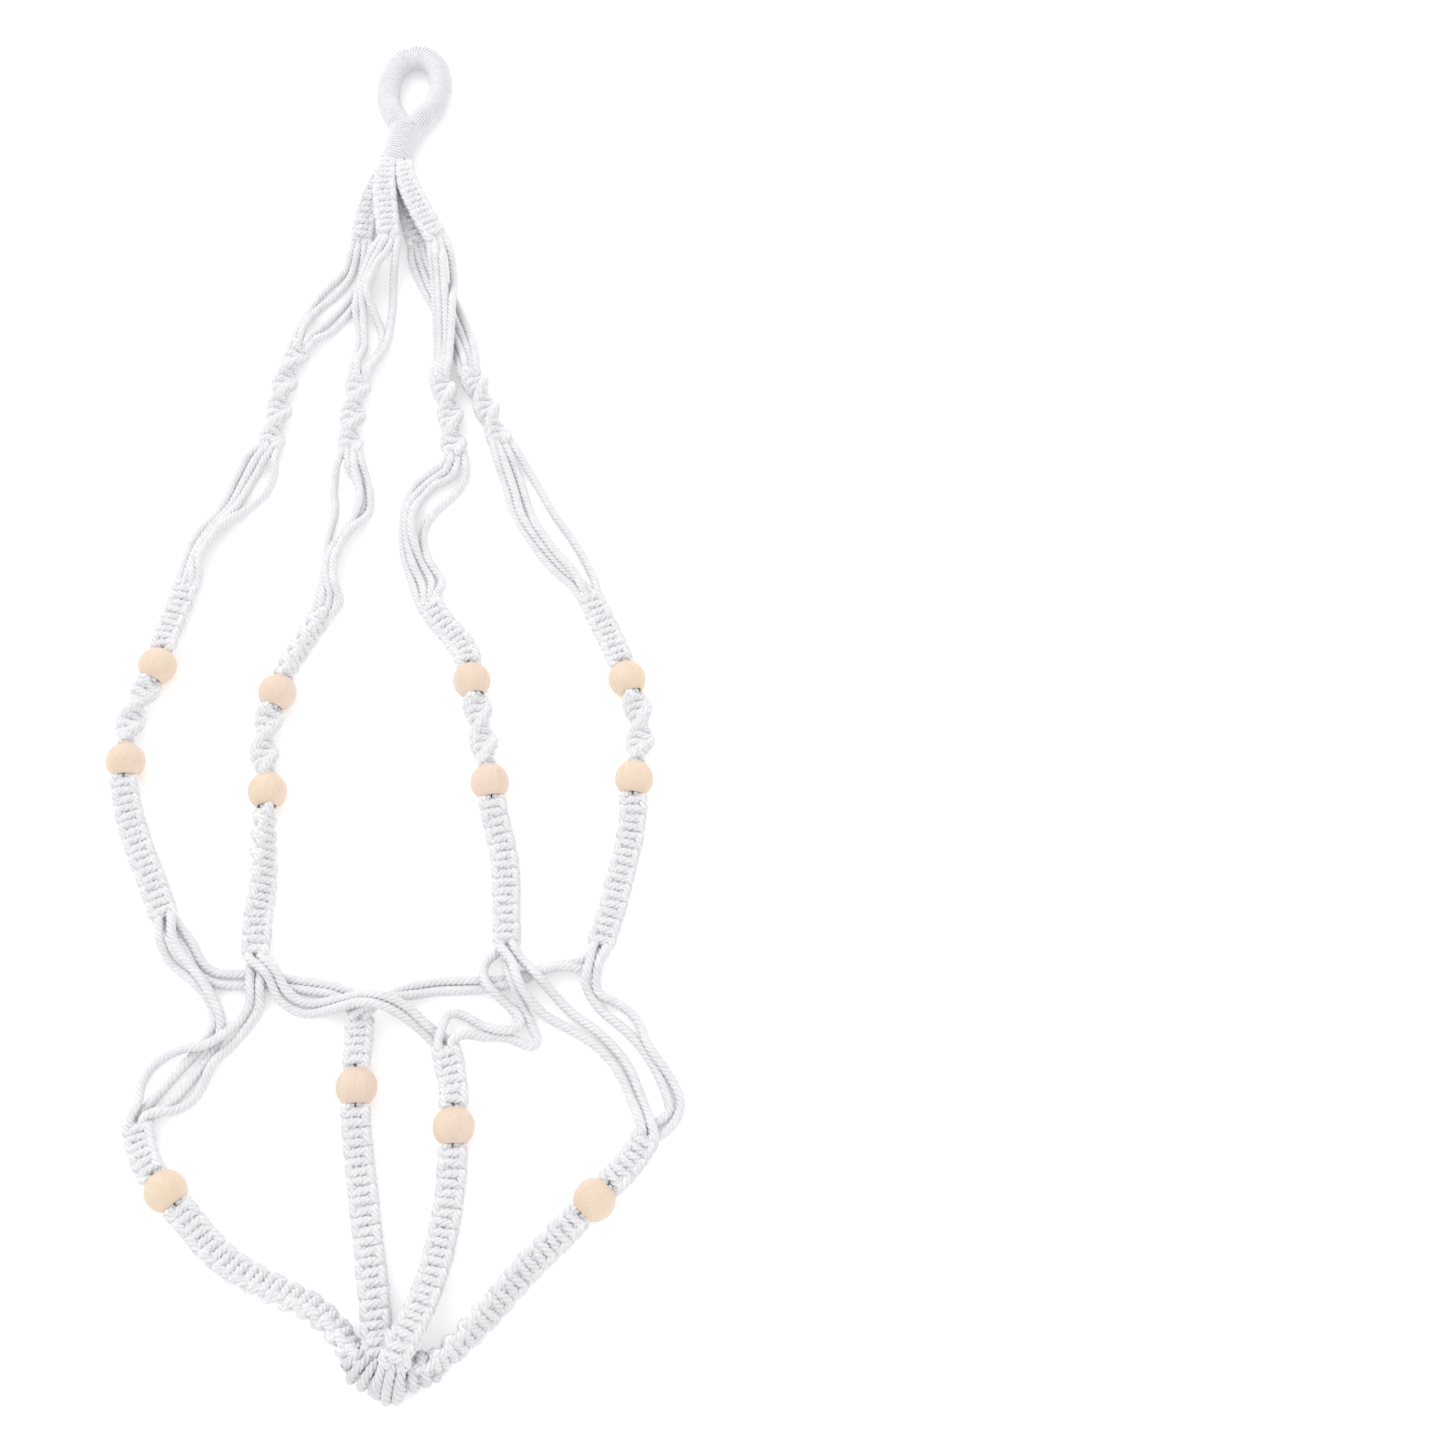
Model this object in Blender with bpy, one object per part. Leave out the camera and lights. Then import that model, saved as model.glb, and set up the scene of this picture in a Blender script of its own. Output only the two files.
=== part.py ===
"""Hanging macrame planter of white cotton cord and wooden beads, laid out flat on a floor.

The planter rests on z = 0. +Y runs towards the hanging loop and +Z points up, away from the floor.
Lengths below are millimetres; the meshes are made in metres.

From top to bottom: a wrapped hanging loop and neck, four knotted crown sinnets, loose cords,
four half-knot spirals, loose cords, four arms (shoulder sinnet, bead, spiral, bead, long sinnet),
a net of loose cords that cross from arm to arm, four beaded basket sinnets and a gathered base knot.
"""

import math

import bmesh
import bpy
import numpy as np
from mathutils import Matrix, Vector

MM = 0.001

# Middle of the bounding box in the plan the lists below are written in.
PLAN_CENTRE = (1.988, -8.243)

CORD_DIAMETER = 4.1
CORD_SIDES = 5
FLOOR_HEIGHT = 2.6          # height of a cord's centre where it lies on the floor
CONTACT_OTHER = 5.4         # centre distance of two crossing cords
CONTACT_SAME = 4.3          # centre distance of cords of one bundle, which press together
CONTACT_ROOT = 3.2          # the same where the bundle is gathered into a sinnet
CONTACT_GROWTH = 0.07
CORD_SLOPE = 0.6            # steepest rise of a cord over another one
ROOT_LEVEL = 9.0            # length over which a cord keeps its height next to a sinnet
CORD_TOLERANCE = 0.5
CORD_LONGEST = 30.0
LAY_STEP = 2.0

SINNET_WIDTH = 14.0
SINNET_THICKNESS = 11.0
SINNET_CHAMFER = 3.0
SINNET_HEIGHT = SINNET_THICKNESS / 2
ROLLED_HEIGHT = 7.45        # height of a sinnet that rolls on its edge
SPIRAL_WIDTH = 13.4
SPIRAL_THICKNESS = 10.4
SPIRAL_HEIGHT = 7.1
SPIRAL_TURN = 40.0          # length of one full turn of a half-knot spiral
SPIRAL_WIDEST = 7.5         # where a spiral first shows its full width
NECK_ROOT_WIDTH = 9.2       # size of a crown sinnet where it leaves the neck wrap
NECK_ROOT_GROWTH = 30.0

BEAD_RADIUS = 10.0
BEAD_HOLE_RADIUS = 4.5
BEAD_FACE = 9.3             # distance of a sinnet's end face from the centre of its bead
BEAD_SEGMENTS = 12
BEAD_ARC_POINTS = 7
STUB_RADIUS = 3.9           # cords inside a bead's hole
STUB_GAP = 0.3

LOOP_CORE_RADIUS = 4.8
LOOP_WRAP_INNER = 5.3
LOOP_WRAP_OUTER = 7.6
NECK_CORE_RADIUS = 7.4
NECK_WRAP_INNER = 7.8
NECK_WRAP_OUTER = 10.0
ROUND_SIDES = 12
CORE_SIDES = 8
WRAP_SIDES = 10
LOOP_STEP = 9.5

COLLAR_GAP = 0.6            # space between a sinnet's end face and the collar of its cords
COLLAR_LENGTH = 3.0
COLLAR_WIDTH = 13.6
COLLAR_FULL = 9.0           # thickness of the collar of four cords
COLLAR_HALF = 4.8           # thickness of the collar of two cords
LEVEL_OFFSETS = (-2.5, 3.1)  # the lower and the upper pair, from the middle of a sinnet's end
OFFSETS_FOUR = (-5.2, -1.8, 1.8, 5.2)
OFFSETS_TWO = (-3.4, 3.4)

BEADS = {
    "bead_upper_1": (-131, -47),
    "bead_upper_2": (-65, -63),
    "bead_upper_3": (38, -56),
    "bead_upper_4": (121, -55),
    "bead_lower_1": (-140, -103),
    "bead_lower_2": (-64, -120),
    "bead_lower_3": (51, -115),
    "bead_lower_4": (126, -113),
    "bead_basket_1": (-89, -323),
    "bead_basket_2": (-4, -274),
    "bead_basket_3": (44, -293),
    "bead_basket_4": (112, -327),
}

LOOP_ROUTE = [
    (-26, 330, 9.5), (-33, 339, 9), (-39, 351, 8), (-41, 366, 8), (-38.6, 381, 8), (-32.5, 390.5, 8),
    (-24.5, 393.3, 8), (-15.8, 389.8, 8), (-9.8, 380, 8), (-7.8, 366, 8), (-10.8, 352, 8), (-17, 341, 9),
    (-24, 331, 9.5),
]
LOOP_WRAP_FROM_Y = 342.0
NECK_ROUTE = [(-26, 333, 10), (-28.5, 320, 10), (-30, 310, 10), (-31.5, 302, 10)]
NECK_WRAP_ROUTE = [(-27, 329, 10), (-28.5, 320, 10), (-30, 310, 10), (-31.4, 302.6, 10)]

# Each sinnet: its beads at the start and the end, and the points between them.
# A roll of 90 degrees stands the flat sinnet on its edge.
SINNETS = {
    "crown_sinnet_1": dict(
        points=[(-38.6, 301, 5.3), (-41.2, 293, 5.3), (-44.2, 281, 5.5), (-46.4, 264, 5.5), (-47.6, 246, 5.5)],
        from_neck=True,
    ),
    "crown_sinnet_2": dict(
        points=[(-34.8, 301, 15.2), (-35, 290, 16), (-34.5, 277, 17), (-32, 259, 17), (-29, 240, 16.8)],
        from_neck=True,
    ),
    "crown_sinnet_3": dict(
        points=[(-28.2, 298.8, 5.3), (-26, 289, 5.4), (-22.5, 276, 5.5), (-18, 259, 5.5), (-13, 242, 5.5)],
        from_neck=True,
    ),
    "crown_sinnet_4": dict(
        points=[(-24.4, 297.8, 15.2), (-22.9, 288, 16), (-18.8, 275, 17), (-11, 258, 17), (-0.5, 238, 16.8)],
        from_neck=True,
    ),
    "upper_spiral_1": dict(
        points=[(-77, 165, 7), (-81, 152, 7), (-84, 135, 7), (-85, 115, 7), (-87, 96, 7)],
        spiral=True,
    ),
    "upper_spiral_2": dict(
        points=[(-40, 143, 7), (-41, 125, 7), (-42, 108, 7), (-41, 93, 7)],
        spiral=True,
    ),
    "upper_spiral_3": dict(
        points=[(7, 142, 7), (12, 129, 7), (15, 114, 7), (17, 101, 7), (19, 90, 7)],
        spiral=True,
    ),
    "upper_spiral_4": dict(
        points=[(24, 146, 7), (30, 135, 7), (36, 120, 7), (41, 108, 7), (45, 98, 7)],
        spiral=True,
    ),
    "shoulder_sinnet_1": dict(
        points=[(-123, 4, 5.5), (-125, -8, 5.5), (-127.5, -20, 6.5), (-129, -31, 9)],
        end_bead="bead_upper_1",
    ),
    "shoulder_sinnet_2": dict(
        points=[(-47, -14, 7.3), (-53, -26, 7.3), (-59, -39, 8), (-62, -47, 9.3)],
        end_bead="bead_upper_2",
        roll=(90, 90),
    ),
    "shoulder_sinnet_3": dict(
        points=[(11, -7, 5.5), (19, -19, 5.5), (28, -30, 6.5), (34, -40, 9)],
        end_bead="bead_upper_3",
    ),
    "shoulder_sinnet_4": dict(
        points=[(99, -2, 5.5), (104, -14, 5.5), (110, -27, 6.5), (115, -39, 9)],
        end_bead="bead_upper_4",
    ),
    "bead_spiral_1": dict(
        points=[(-138, -66, 8.4), (-141, -76, 7.4), (-142, -86, 8.4)],
        start_bead="bead_upper_1",
        end_bead="bead_lower_1",
        spiral=True,
    ),
    "bead_spiral_2": dict(
        points=[(-68.5, -81, 8.2), (-69, -92, 7.4), (-67.5, -102, 8.2)],
        start_bead="bead_upper_2",
        end_bead="bead_lower_2",
        spiral=True,
    ),
    "bead_spiral_3": dict(
        points=[(42.5, -74, 8.2), (45, -86, 7.4), (47.5, -97, 8.2)],
        start_bead="bead_upper_3",
        end_bead="bead_lower_3",
        spiral=True,
    ),
    "bead_spiral_4": dict(
        points=[(127.5, -73, 8.2), (129, -84, 7.4), (128, -95, 8.2)],
        start_bead="bead_upper_4",
        end_bead="bead_lower_4",
        spiral=True,
    ),
    "arm_sinnet_1": dict(
        points=[
            (-138, -119, 9), (-135, -130, 6.5), (-131, -141, 5.5), (-125, -154, 5.5),
            (-118, -168, 5.5), (-109, -187, 5.5),
        ],
        start_bead="bead_lower_1",
    ),
    "arm_sinnet_2": dict(
        points=[
            (-64.5, -136, 9.5), (-64, -147, 8.2), (-63, -158, 7.4), (-62, -172, 7.3), (-62, -187, 8.3),
            (-60.5, -199, 9.5), (-60, -208, 9.6),
        ],
        start_bead="bead_lower_2",
        roll=(90, 0),
    ),
    "arm_sinnet_3": dict(
        points=[
            (54, -131, 9), (57, -142, 6.5), (60, -154, 5.5), (62, -168, 5.5), (63, -184, 5.5),
            (64, -201, 5.5),
        ],
        start_bead="bead_lower_3",
    ),
    "arm_sinnet_4": dict(
        points=[
            (126, -129, 9), (125, -140, 6.5), (123, -152, 5.5), (120, -166, 5.5), (116, -184, 5.5),
            (111, -202, 5.5),
        ],
        start_bead="bead_lower_4",
    ),
    "basket_short_1": dict(
        points=[(-108, -291, 5.5), (-105, -300, 5.8), (-99.5, -311, 9)],
        end_bead="bead_basket_1",
    ),
    "basket_short_2": dict(
        points=[(-6, -240, 5.5), (-5.5, -248, 5.8), (-5, -258, 9)],
        end_bead="bead_basket_2",
    ),
    "basket_short_3": dict(
        points=[(37, -254, 5.5), (40, -264, 5.8), (43, -276, 9)],
        end_bead="bead_basket_3",
    ),
    "basket_short_4": dict(
        points=[(136, -297, 5.5), (130.5, -306, 5.8), (123, -316, 9)],
        end_bead="bead_basket_4",
    ),
    "basket_long_1": dict(
        points=[
            (-77, -336, 9), (-67, -347, 7), (-55, -357, 6.8), (-41, -364.5, 6.8), (-27, -370.5, 7),
            (-15, -376, 7.2), (-5, -384, 7.4), (2.5, -393, 7.6),
        ],
        start_bead="bead_basket_1",
        roll=(0, 80),
    ),
    "basket_long_2": dict(
        points=[
            (-2.5, -291, 9), (-1, -302, 6.5), (1.5, -316, 5.5), (5, -334, 5.5), (9, -354, 5.5),
            (12.7, -372, 5.5), (14.7, -386, 5.5),
        ],
        start_bead="bead_basket_2",
    ),
    "basket_long_3": dict(
        points=[
            (44.5, -309, 9), (44, -320, 6.5), (43, -333, 5.5), (40.3, -351, 6), (37.2, -366, 9),
            (33, -380, 14), (30.3, -387, 18),
        ],
        start_bead="bead_basket_3",
    ),
    "basket_long_4": dict(
        points=[
            (100, -339.5, 9), (90, -348.5, 7), (80.5, -357.5, 6.8), (72, -367, 6.9), (63.5, -377, 7.1),
            (55.5, -386, 7.4), (47.5, -393.5, 7.6),
        ],
        start_bead="bead_basket_4",
        roll=(0, 80),
    ),
}

# Bundles of four cords between two sinnets.  The routes are plan points between the sinnets' ends.
UPPER_CORDS = {
    "upper_cords_1": dict(
        start="crown_sinnet_1",
        end="upper_spiral_1",
        routes=[
            [(-55, 234), (-58, 223), (-66, 212), (-73, 201), (-78, 187), (-81, 175)],
            [(-51, 232), (-54, 218), (-61, 206), (-70, 196), (-76, 182)],
            [(-46, 231), (-48, 212), (-55, 199), (-64, 186), (-71, 175)],
            [(-42, 230), (-44, 210), (-52, 193), (-61, 178), (-69, 170)],
        ],
    ),
    "upper_cords_2": dict(
        start="crown_sinnet_2",
        end="upper_spiral_2",
        routes=[
            [(-38, 231), (-43, 219), (-46, 206), (-47, 192), (-44, 176), (-45, 158)],
            [(-34, 230), (-39, 219), (-43, 205), (-42, 186), (-40, 168), (-42, 156)],
            [(-29, 230), (-36, 217), (-40, 202), (-34, 187), (-30, 172), (-35, 154)],
            [(-24, 230), (-26, 214), (-26, 192), (-27, 168), (-33, 151)],
        ],
    ),
    "upper_cords_4": dict(
        start="crown_sinnet_3",
        end="upper_spiral_4",
        routes=[
            [(-16, 229), (-8, 210), (1, 192), (10, 171), (17, 156)],
            [(-11, 229), (-4, 210), (6, 191), (15, 170), (20, 156)],
            [(-7, 229), (1, 210), (11, 190), (20, 169), (24, 156)],
            [(-3, 230), (6, 212), (15, 194), (23, 173), (27, 157)],
        ],
    ),
    "upper_cords_3": dict(
        start="crown_sinnet_4",
        end="upper_spiral_3",
        routes=[
            [(-3, 227), (-1, 210), (1, 193), (2, 173), (3, 154)],
            [(0, 227), (2, 210), (4, 191), (5, 171), (6, 154)],
            [(4, 227), (6, 208), (8, 189), (9, 169), (9, 154)],
            [(9, 227), (11, 206), (12, 187), (12, 167), (12, 153)],
        ],
    ),
}
MIDDLE_CORDS = {
    "middle_cords_1": dict(
        start="upper_spiral_1",
        end="shoulder_sinnet_1",
        routes=[
            [(-99, 90), (-105, 78), (-109, 64), (-113.5, 52), (-122, 41), (-126, 29), (-128, 14)],
            [(-95, 86), (-100.5, 75), (-105, 61), (-110, 50), (-118, 39), (-122, 28), (-124, 14)],
            [(-91, 84), (-96.5, 73), (-101, 60), (-107, 48), (-115, 37), (-120, 26), (-121, 13)],
            [(-83.5, 88), (-83.5, 79), (-87, 67), (-96, 55.5), (-104, 46), (-112, 35), (-117, 23),
             (-117, 14)],
        ],
    ),
    "middle_cords_2": dict(
        start="upper_spiral_2",
        end="shoulder_sinnet_2",
        routes=[
            [(-48, 82), (-49, 68), (-47, 54), (-49, 38), (-49, 20), (-50, 2)],
            [(-40, 80), (-32, 66), (-33, 50), (-42, 34), (-47, 18), (-47, 2)],
            [(-37, 78), (-33, 62), (-36, 45), (-44, 29), (-46, 12), (-43, -1)],
            [(-33, 82), (-28, 66), (-28, 51), (-37, 36), (-42, 20), (-41, 5), (-37, -7)],
        ],
    ),
    "middle_cords_3": dict(
        start="upper_spiral_3",
        end="shoulder_sinnet_3",
        routes=[
            [(10, 81), (-2, 73), (-7, 60), (-8, 43), (-6, 26), (0, 8)],
            [(14, 79), (2, 70), (-5, 56), (-5, 40), (-1, 21), (6, 6)],
            [(19, 77), (6, 68), (-1, 55), (-2, 40), (3, 24), (11, 8)],
            [(26, 77), (20, 65), (9, 53), (4, 39), (8, 23), (17, 8)],
        ],
    ),
    "middle_cords_4": dict(
        start="upper_spiral_4",
        end="shoulder_sinnet_4",
        routes=[
            [(43, 87), (48, 73), (53, 56), (62, 39), (74, 21), (88, 6)],
            [(48, 84), (54, 67), (59, 50), (70, 33), (83, 17), (91, 9)],
            [(54, 82), (60, 64), (66, 46), (77, 29), (89, 13)],
            [(58, 87), (67, 71), (76, 54), (87, 37), (96, 21), (101, 9)],
        ],
    ),
}

# Pairs of cords from an arm to the basket, lowest first.  A level is 0 for the lower pair at a
# sinnet's end and 1 for the upper pair.
NET_CORDS = {
    "net_cords_1_to_2": dict(
        start="arm_sinnet_1",
        end="basket_short_2",
        levels=(0, 0),
        routes=[
            [(-95, -199), (-89, -209), (-81, -215), (-66, -216), (-47, -218), (-26, -221), (-11, -226)],
            [(-98, -203), (-90, -215), (-79, -221), (-57, -222), (-35, -224), (-17, -228)],
        ],
    ),
    "net_cords_4_to_2": dict(
        start="arm_sinnet_4",
        end="basket_short_2",
        levels=(0, 1),
        routes=[
            [(102, -209), (89, -211), (76, -215), (60, -219), (44, -219), (27, -220), (10, -225)],
            [(105, -213), (89, -213), (76, -218), (60, -223), (44, -224), (27, -225), (8, -230)],
        ],
    ),
    "net_cords_1_to_1": dict(
        start="arm_sinnet_1",
        end="basket_short_1",
        levels=(1, 0),
        routes=[
            [(-109, -201), (-103, -211), (-91, -220), (-82, -230), (-79, -241), (-84, -253), (-93, -265),
             (-102, -277)],
            [(-103, -199), (-94, -211), (-83, -224), (-75, -239), (-77, -254), (-86, -269), (-95, -281)],
        ],
    ),
    "net_cords_2_to_1": dict(
        start="arm_sinnet_2",
        end="basket_short_1",
        levels=(0, 1),
        routes=[
            [(-62, -219), (-62, -232), (-69, -244), (-80, -253), (-95, -255), (-105, -261), (-110, -271),
             (-109, -281)],
            [(-57, -220), (-57, -234), (-66, -249), (-75, -260), (-79.5, -270), (-84, -279), (-92, -284.5), (-97.5, -285)],
        ],
    ),
    "net_cords_2_to_3": dict(
        start="arm_sinnet_2",
        end="basket_short_3",
        levels=(1, 0),
        routes=[
            [(-53, -218), (-47, -229), (-35, -236), (-20, -235), (-5, -234), (9, -236), (22, -243)],
            [(-49, -216), (-43, -226), (-32, -231), (-15, -230), (2, -230), (16, -234), (29, -244)],
        ],
    ),
    "net_cords_3_to_3": dict(
        start="arm_sinnet_3",
        end="basket_short_3",
        levels=(0, 1),
        routes=[
            [(64, -211), (68, -221), (73, -232), (78, -242), (81.5, -249.5), (78.5, -253),
             (72, -250), (63, -247.5), (54, -248), (46, -247.5)],
            [(53.5, -211), (55, -222), (65, -231), (73, -240), (68, -245), (55, -243), (45, -237),
             (37, -236), (35, -243)],
        ],
    ),
    "net_cords_4_to_4": dict(
        start="arm_sinnet_4",
        end="basket_short_4",
        levels=(1, 0),
        routes=[
            [(106, -211), (104, -222), (112, -234), (125, -245), (136, -258), (144, -274), (146, -285)],
            [(110, -213), (110, -225), (121, -231), (130, -239), (136, -253), (147, -268), (152, -281),
             (147, -292)],
        ],
    ),
    "net_cords_3_to_4": dict(
        start="arm_sinnet_3",
        end="basket_short_4",
        levels=(1, 1),
        routes=[
            [(67, -211), (73, -225), (83, -236), (97, -244), (111, -253), (122, -266), (129, -282)],
            [(72, -210), (83, -221), (97, -235), (113, -247), (126, -262), (134, -281)],
        ],
    ),
}

# Hinge lines of the folds, as y and z; each runs along X.
FOLD_UPPER = (203.0, 12.0)
FOLD_MIDDLE = (45.0, 12.0)
FOLD_BASKET = (-223.0, 12.0)

KNOT_BAND = [(5, -398.5, 9.5), (12, -403, 10), (22, -406, 10), (32, -404, 10), (41, -399.5, 9.5)]
KNOT_BAND_RADIUS = 8.4
KNOT_FRONT = [(28.8, -391.5, 17), (26.5, -398, 18), (24.5, -406, 16.5), (23, -413, 10)]
KNOT_FRONT_RADIUS = 6.4
KNOT_BACK = [(16, -391, 7), (18, -397, 6.5), (21, -405, 6.2)]
KNOT_BACK_RADIUS = 5.8

COTTON = (0.93, 0.92, 0.90, 1.0)
WRAP_COTTON = (0.95, 0.94, 0.91, 1.0)
BEECH = (0.87, 0.72, 0.50, 1.0)


def unit(vector):
    """The vector scaled to length one."""
    return np.asarray(vector, float) / np.linalg.norm(vector)


def spline(points, step):
    """Points at an even step on a smooth curve through the given points."""
    points = np.asarray(points, float)
    first = 2 * points[0] - points[1]
    last = 2 * points[-1] - points[-2]
    padded = np.vstack([first, points, last])
    fine = []
    for i in range(1, len(padded) - 2):
        p0, p1, p2, p3 = padded[i - 1:i + 3]
        for t in np.linspace(0, 1, 24, endpoint=False):
            bend = 2 * p1 + (p2 - p0) * t
            bend = bend + (2 * p0 - 5 * p1 + 4 * p2 - p3) * t ** 2
            bend = bend + (3 * p1 - p0 - 3 * p2 + p3) * t ** 3
            fine.append(bend / 2)
    fine.append(padded[-2])
    fine = np.array(fine)
    along = np.concatenate([[0], np.cumsum(np.linalg.norm(np.diff(fine, axis=0), axis=1))])
    count = max(2, int(round(along[-1] / step)) + 1)
    stops = np.linspace(0, along[-1], count)
    return np.stack([np.interp(stops, along, fine[:, k]) for k in range(fine.shape[1])], axis=1)


def tangents(path):
    """Unit direction of travel at each point of a path."""
    ahead = np.gradient(path, axis=0)
    return ahead / np.linalg.norm(ahead, axis=1)[:, None]


def distances(path):
    """Distance along the path at each of its points."""
    return np.concatenate([[0], np.cumsum(np.linalg.norm(np.diff(path, axis=0), axis=1))])


def flat_frames(path):
    """Side and up directions that keep a sinnet level."""
    ahead = tangents(path)
    side = np.cross(ahead, (0.0, 0.0, 1.0))
    side /= np.linalg.norm(side, axis=1)[:, None]
    up = np.cross(side, ahead)
    return side, up


def thinned(path, tolerance, longest):
    """The few points of a path that keep its shape within a tolerance."""
    keep = [0]
    here = 0
    while here < len(path) - 1:
        reach = here + 1
        for there in range(here + 2, len(path)):
            chord = path[there] - path[here]
            if np.linalg.norm(chord) > longest:
                break
            between = path[here + 1:there] - path[here]
            along = unit(chord)
            off = between - np.outer(between @ along, along)
            if np.linalg.norm(off, axis=1).max() > tolerance:
                break
            reach = there
        keep.append(reach)
        here = reach
    return path[keep]


def material(name, colour, roughness):
    """A plain material."""
    made = bpy.data.materials.new(name)
    made.use_nodes = True
    shader = made.node_tree.nodes["Principled BSDF"]
    shader.inputs["Base Color"].default_value = colour
    shader.inputs["Roughness"].default_value = roughness
    return made


def new_mesh(name, vertices, faces):
    """A mesh in metres, moved so the planter's box is centred, with its faces turned outward."""
    shift = np.array([PLAN_CENTRE[0], PLAN_CENTRE[1], 0.0])
    placed = (np.asarray(vertices, float) - shift) * MM
    mesh = bpy.data.meshes.new(name)
    mesh.from_pydata([tuple(v) for v in placed], [], faces)
    body = bmesh.new()
    body.from_mesh(mesh)
    bmesh.ops.recalc_face_normals(body, faces=body.faces)
    if body.calc_volume(signed=True) < 0:
        bmesh.ops.reverse_faces(body, faces=body.faces)
    bmesh.ops.triangulate(body, faces=body.faces)
    body.to_mesh(mesh)
    body.free()
    return mesh


def to_metres(point):
    """A plan point in millimetres as a point of the centred planter in metres."""
    shift = np.array([PLAN_CENTRE[0], PLAN_CENTRE[1], 0.0])
    return Vector((np.asarray(point, float) - shift) * MM)


def attach(thing, parent, world):
    """Link an object to the scene at a world position, under its parent."""
    bpy.context.scene.collection.objects.link(thing)
    thing.location = world
    if parent is not None:
        thing.parent = parent
        thing.location = world - parent.matrix_world.translation
    return thing


def new_object(name, mesh, colour, roughness, parent=None):
    """Put a mesh in the scene as one named piece with its own material and its origin inside it."""
    mesh.materials.clear()
    mesh.materials.append(material(name + "_mat", colour, roughness))
    smooth(mesh)
    low = Vector(np.min([v.co for v in mesh.vertices], axis=0))
    high = Vector(np.max([v.co for v in mesh.vertices], axis=0))
    middle = (low + high) / 2
    mesh.transform(Matrix.Translation(-middle))
    return attach(bpy.data.objects.new(name, mesh), parent, middle)


def smooth(mesh):
    """Shade a mesh smooth except over its sharp edges."""
    mesh.shade_smooth()
    mesh.set_sharp_from_angle(angle=math.radians(40))


def loft(rings):
    """Vertices and faces of a solid through rings that have the same number of points."""
    count = len(rings[0])
    vertices = [tuple(p) for ring in rings for p in ring]
    faces = [tuple(range(count - 1, -1, -1))]
    for r in range(len(rings) - 1):
        for k in range(count):
            a = r * count + k
            b = r * count + (k + 1) % count
            faces.append((a, b, b + count, a + count))
    last = (len(rings) - 1) * count
    faces.append(tuple(range(last, last + count)))
    return vertices, faces


def ring_at(centre, side, up, outline):
    """A section outline placed at a point of a path."""
    return [centre + side * u + up * v for u, v in outline]


def circle(radius, sides, turn=0.0):
    """Outline of a regular polygon."""
    angles = [2 * math.pi * k / sides + turn for k in range(sides)]
    return [(radius * math.cos(a), radius * math.sin(a)) for a in angles]


def octagon(width, thickness, chamfer, roll):
    """Outline of a flat bar with chamfered edges, rolled about its axis."""
    w = width / 2
    t = thickness / 2
    corners = [
        (w, -t + chamfer), (w, t - chamfer), (w - chamfer, t), (-w + chamfer, t),
        (-w, t - chamfer), (-w, -t + chamfer), (-w + chamfer, -t), (w - chamfer, -t),
    ]
    c = math.cos(roll)
    s = math.sin(roll)
    return [(c * u - s * v, s * u + c * v) for u, v in corners]


def tube(path, radius, sides):
    """A round solid along a path, with a frame that does not twist."""
    ahead = tangents(path)
    start = (0.0, 0.0, 1.0) if abs(ahead[0][2]) < 0.9 else (1.0, 0.0, 0.0)
    side = unit(np.cross(ahead[0], start))
    rings = []
    for centre, direction in zip(path, ahead):
        side = unit(side - direction * (side @ direction))
        rings.append(ring_at(centre, side, np.cross(side, direction), circle(radius, sides)))
    return loft(rings)


def sleeve(path, inner, outer, sides):
    """A hollow tube along a path, open at both ends."""
    ahead = tangents(path)
    side = unit(np.cross(ahead[0], (0.0, 0.0, 1.0)))
    outside = []
    inside = []
    for centre, direction in zip(path, ahead):
        side = unit(side - direction * (side @ direction))
        up = np.cross(side, direction)
        outside.append(ring_at(centre, side, up, circle(outer, sides)))
        inside.append(ring_at(centre, side, up, circle(inner, sides)))
    rings = outside + inside[::-1]
    vertices = [tuple(p) for ring in rings for p in ring]
    faces = []
    for r in range(len(rings)):
        for k in range(sides):
            a = r * sides + k
            b = r * sides + (k + 1) % sides
            c = ((r + 1) % len(rings)) * sides
            faces.append((a, b, c + (k + 1) % sides, c + k))
    return vertices, faces


def joined(name, solids):
    """One closed mesh that is the union of several solids."""
    base = bpy.data.objects.new(name + "_base", new_mesh(name, *solids[0]))
    bpy.context.scene.collection.objects.link(base)
    tools = []
    for vertices, faces in solids[1:]:
        tool = bpy.data.objects.new(name + "_tool", new_mesh(name + "_tool", vertices, faces))
        bpy.context.scene.collection.objects.link(tool)
        modifier = base.modifiers.new("join", "BOOLEAN")
        modifier.operation = "UNION"
        modifier.solver = "MANIFOLD"
        modifier.object = tool
        tools.append(tool)
    bpy.context.view_layer.update()
    evaluated = base.evaluated_get(bpy.context.evaluated_depsgraph_get())
    mesh = bpy.data.meshes.new_from_object(evaluated)
    mesh.name = name
    for leftover in tools + [base]:
        bpy.data.objects.remove(leftover, do_unlink=True)
    body = bmesh.new()
    body.from_mesh(mesh)
    bmesh.ops.triangulate(body, faces=body.faces)
    body.to_mesh(mesh)
    body.free()
    return mesh


def bead_axes():
    """Direction of each bead's hole, from the cords on either side of it."""
    before = {}
    after = {}
    for spec in SINNETS.values():
        if "end_bead" in spec:
            before[spec["end_bead"]] = np.array(spec["points"][-1], float)
        if "start_bead" in spec:
            after[spec["start_bead"]] = np.array(spec["points"][0], float)
    axes = {}
    for bead in BEADS:
        direction = after[bead] - before[bead]
        direction[2] = 0.0
        axes[bead] = unit(direction)
    return axes


def bead_centre(bead):
    """Centre of a bead that rests on the floor."""
    return np.array([BEADS[bead][0], BEADS[bead][1], BEAD_RADIUS], float)


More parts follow.
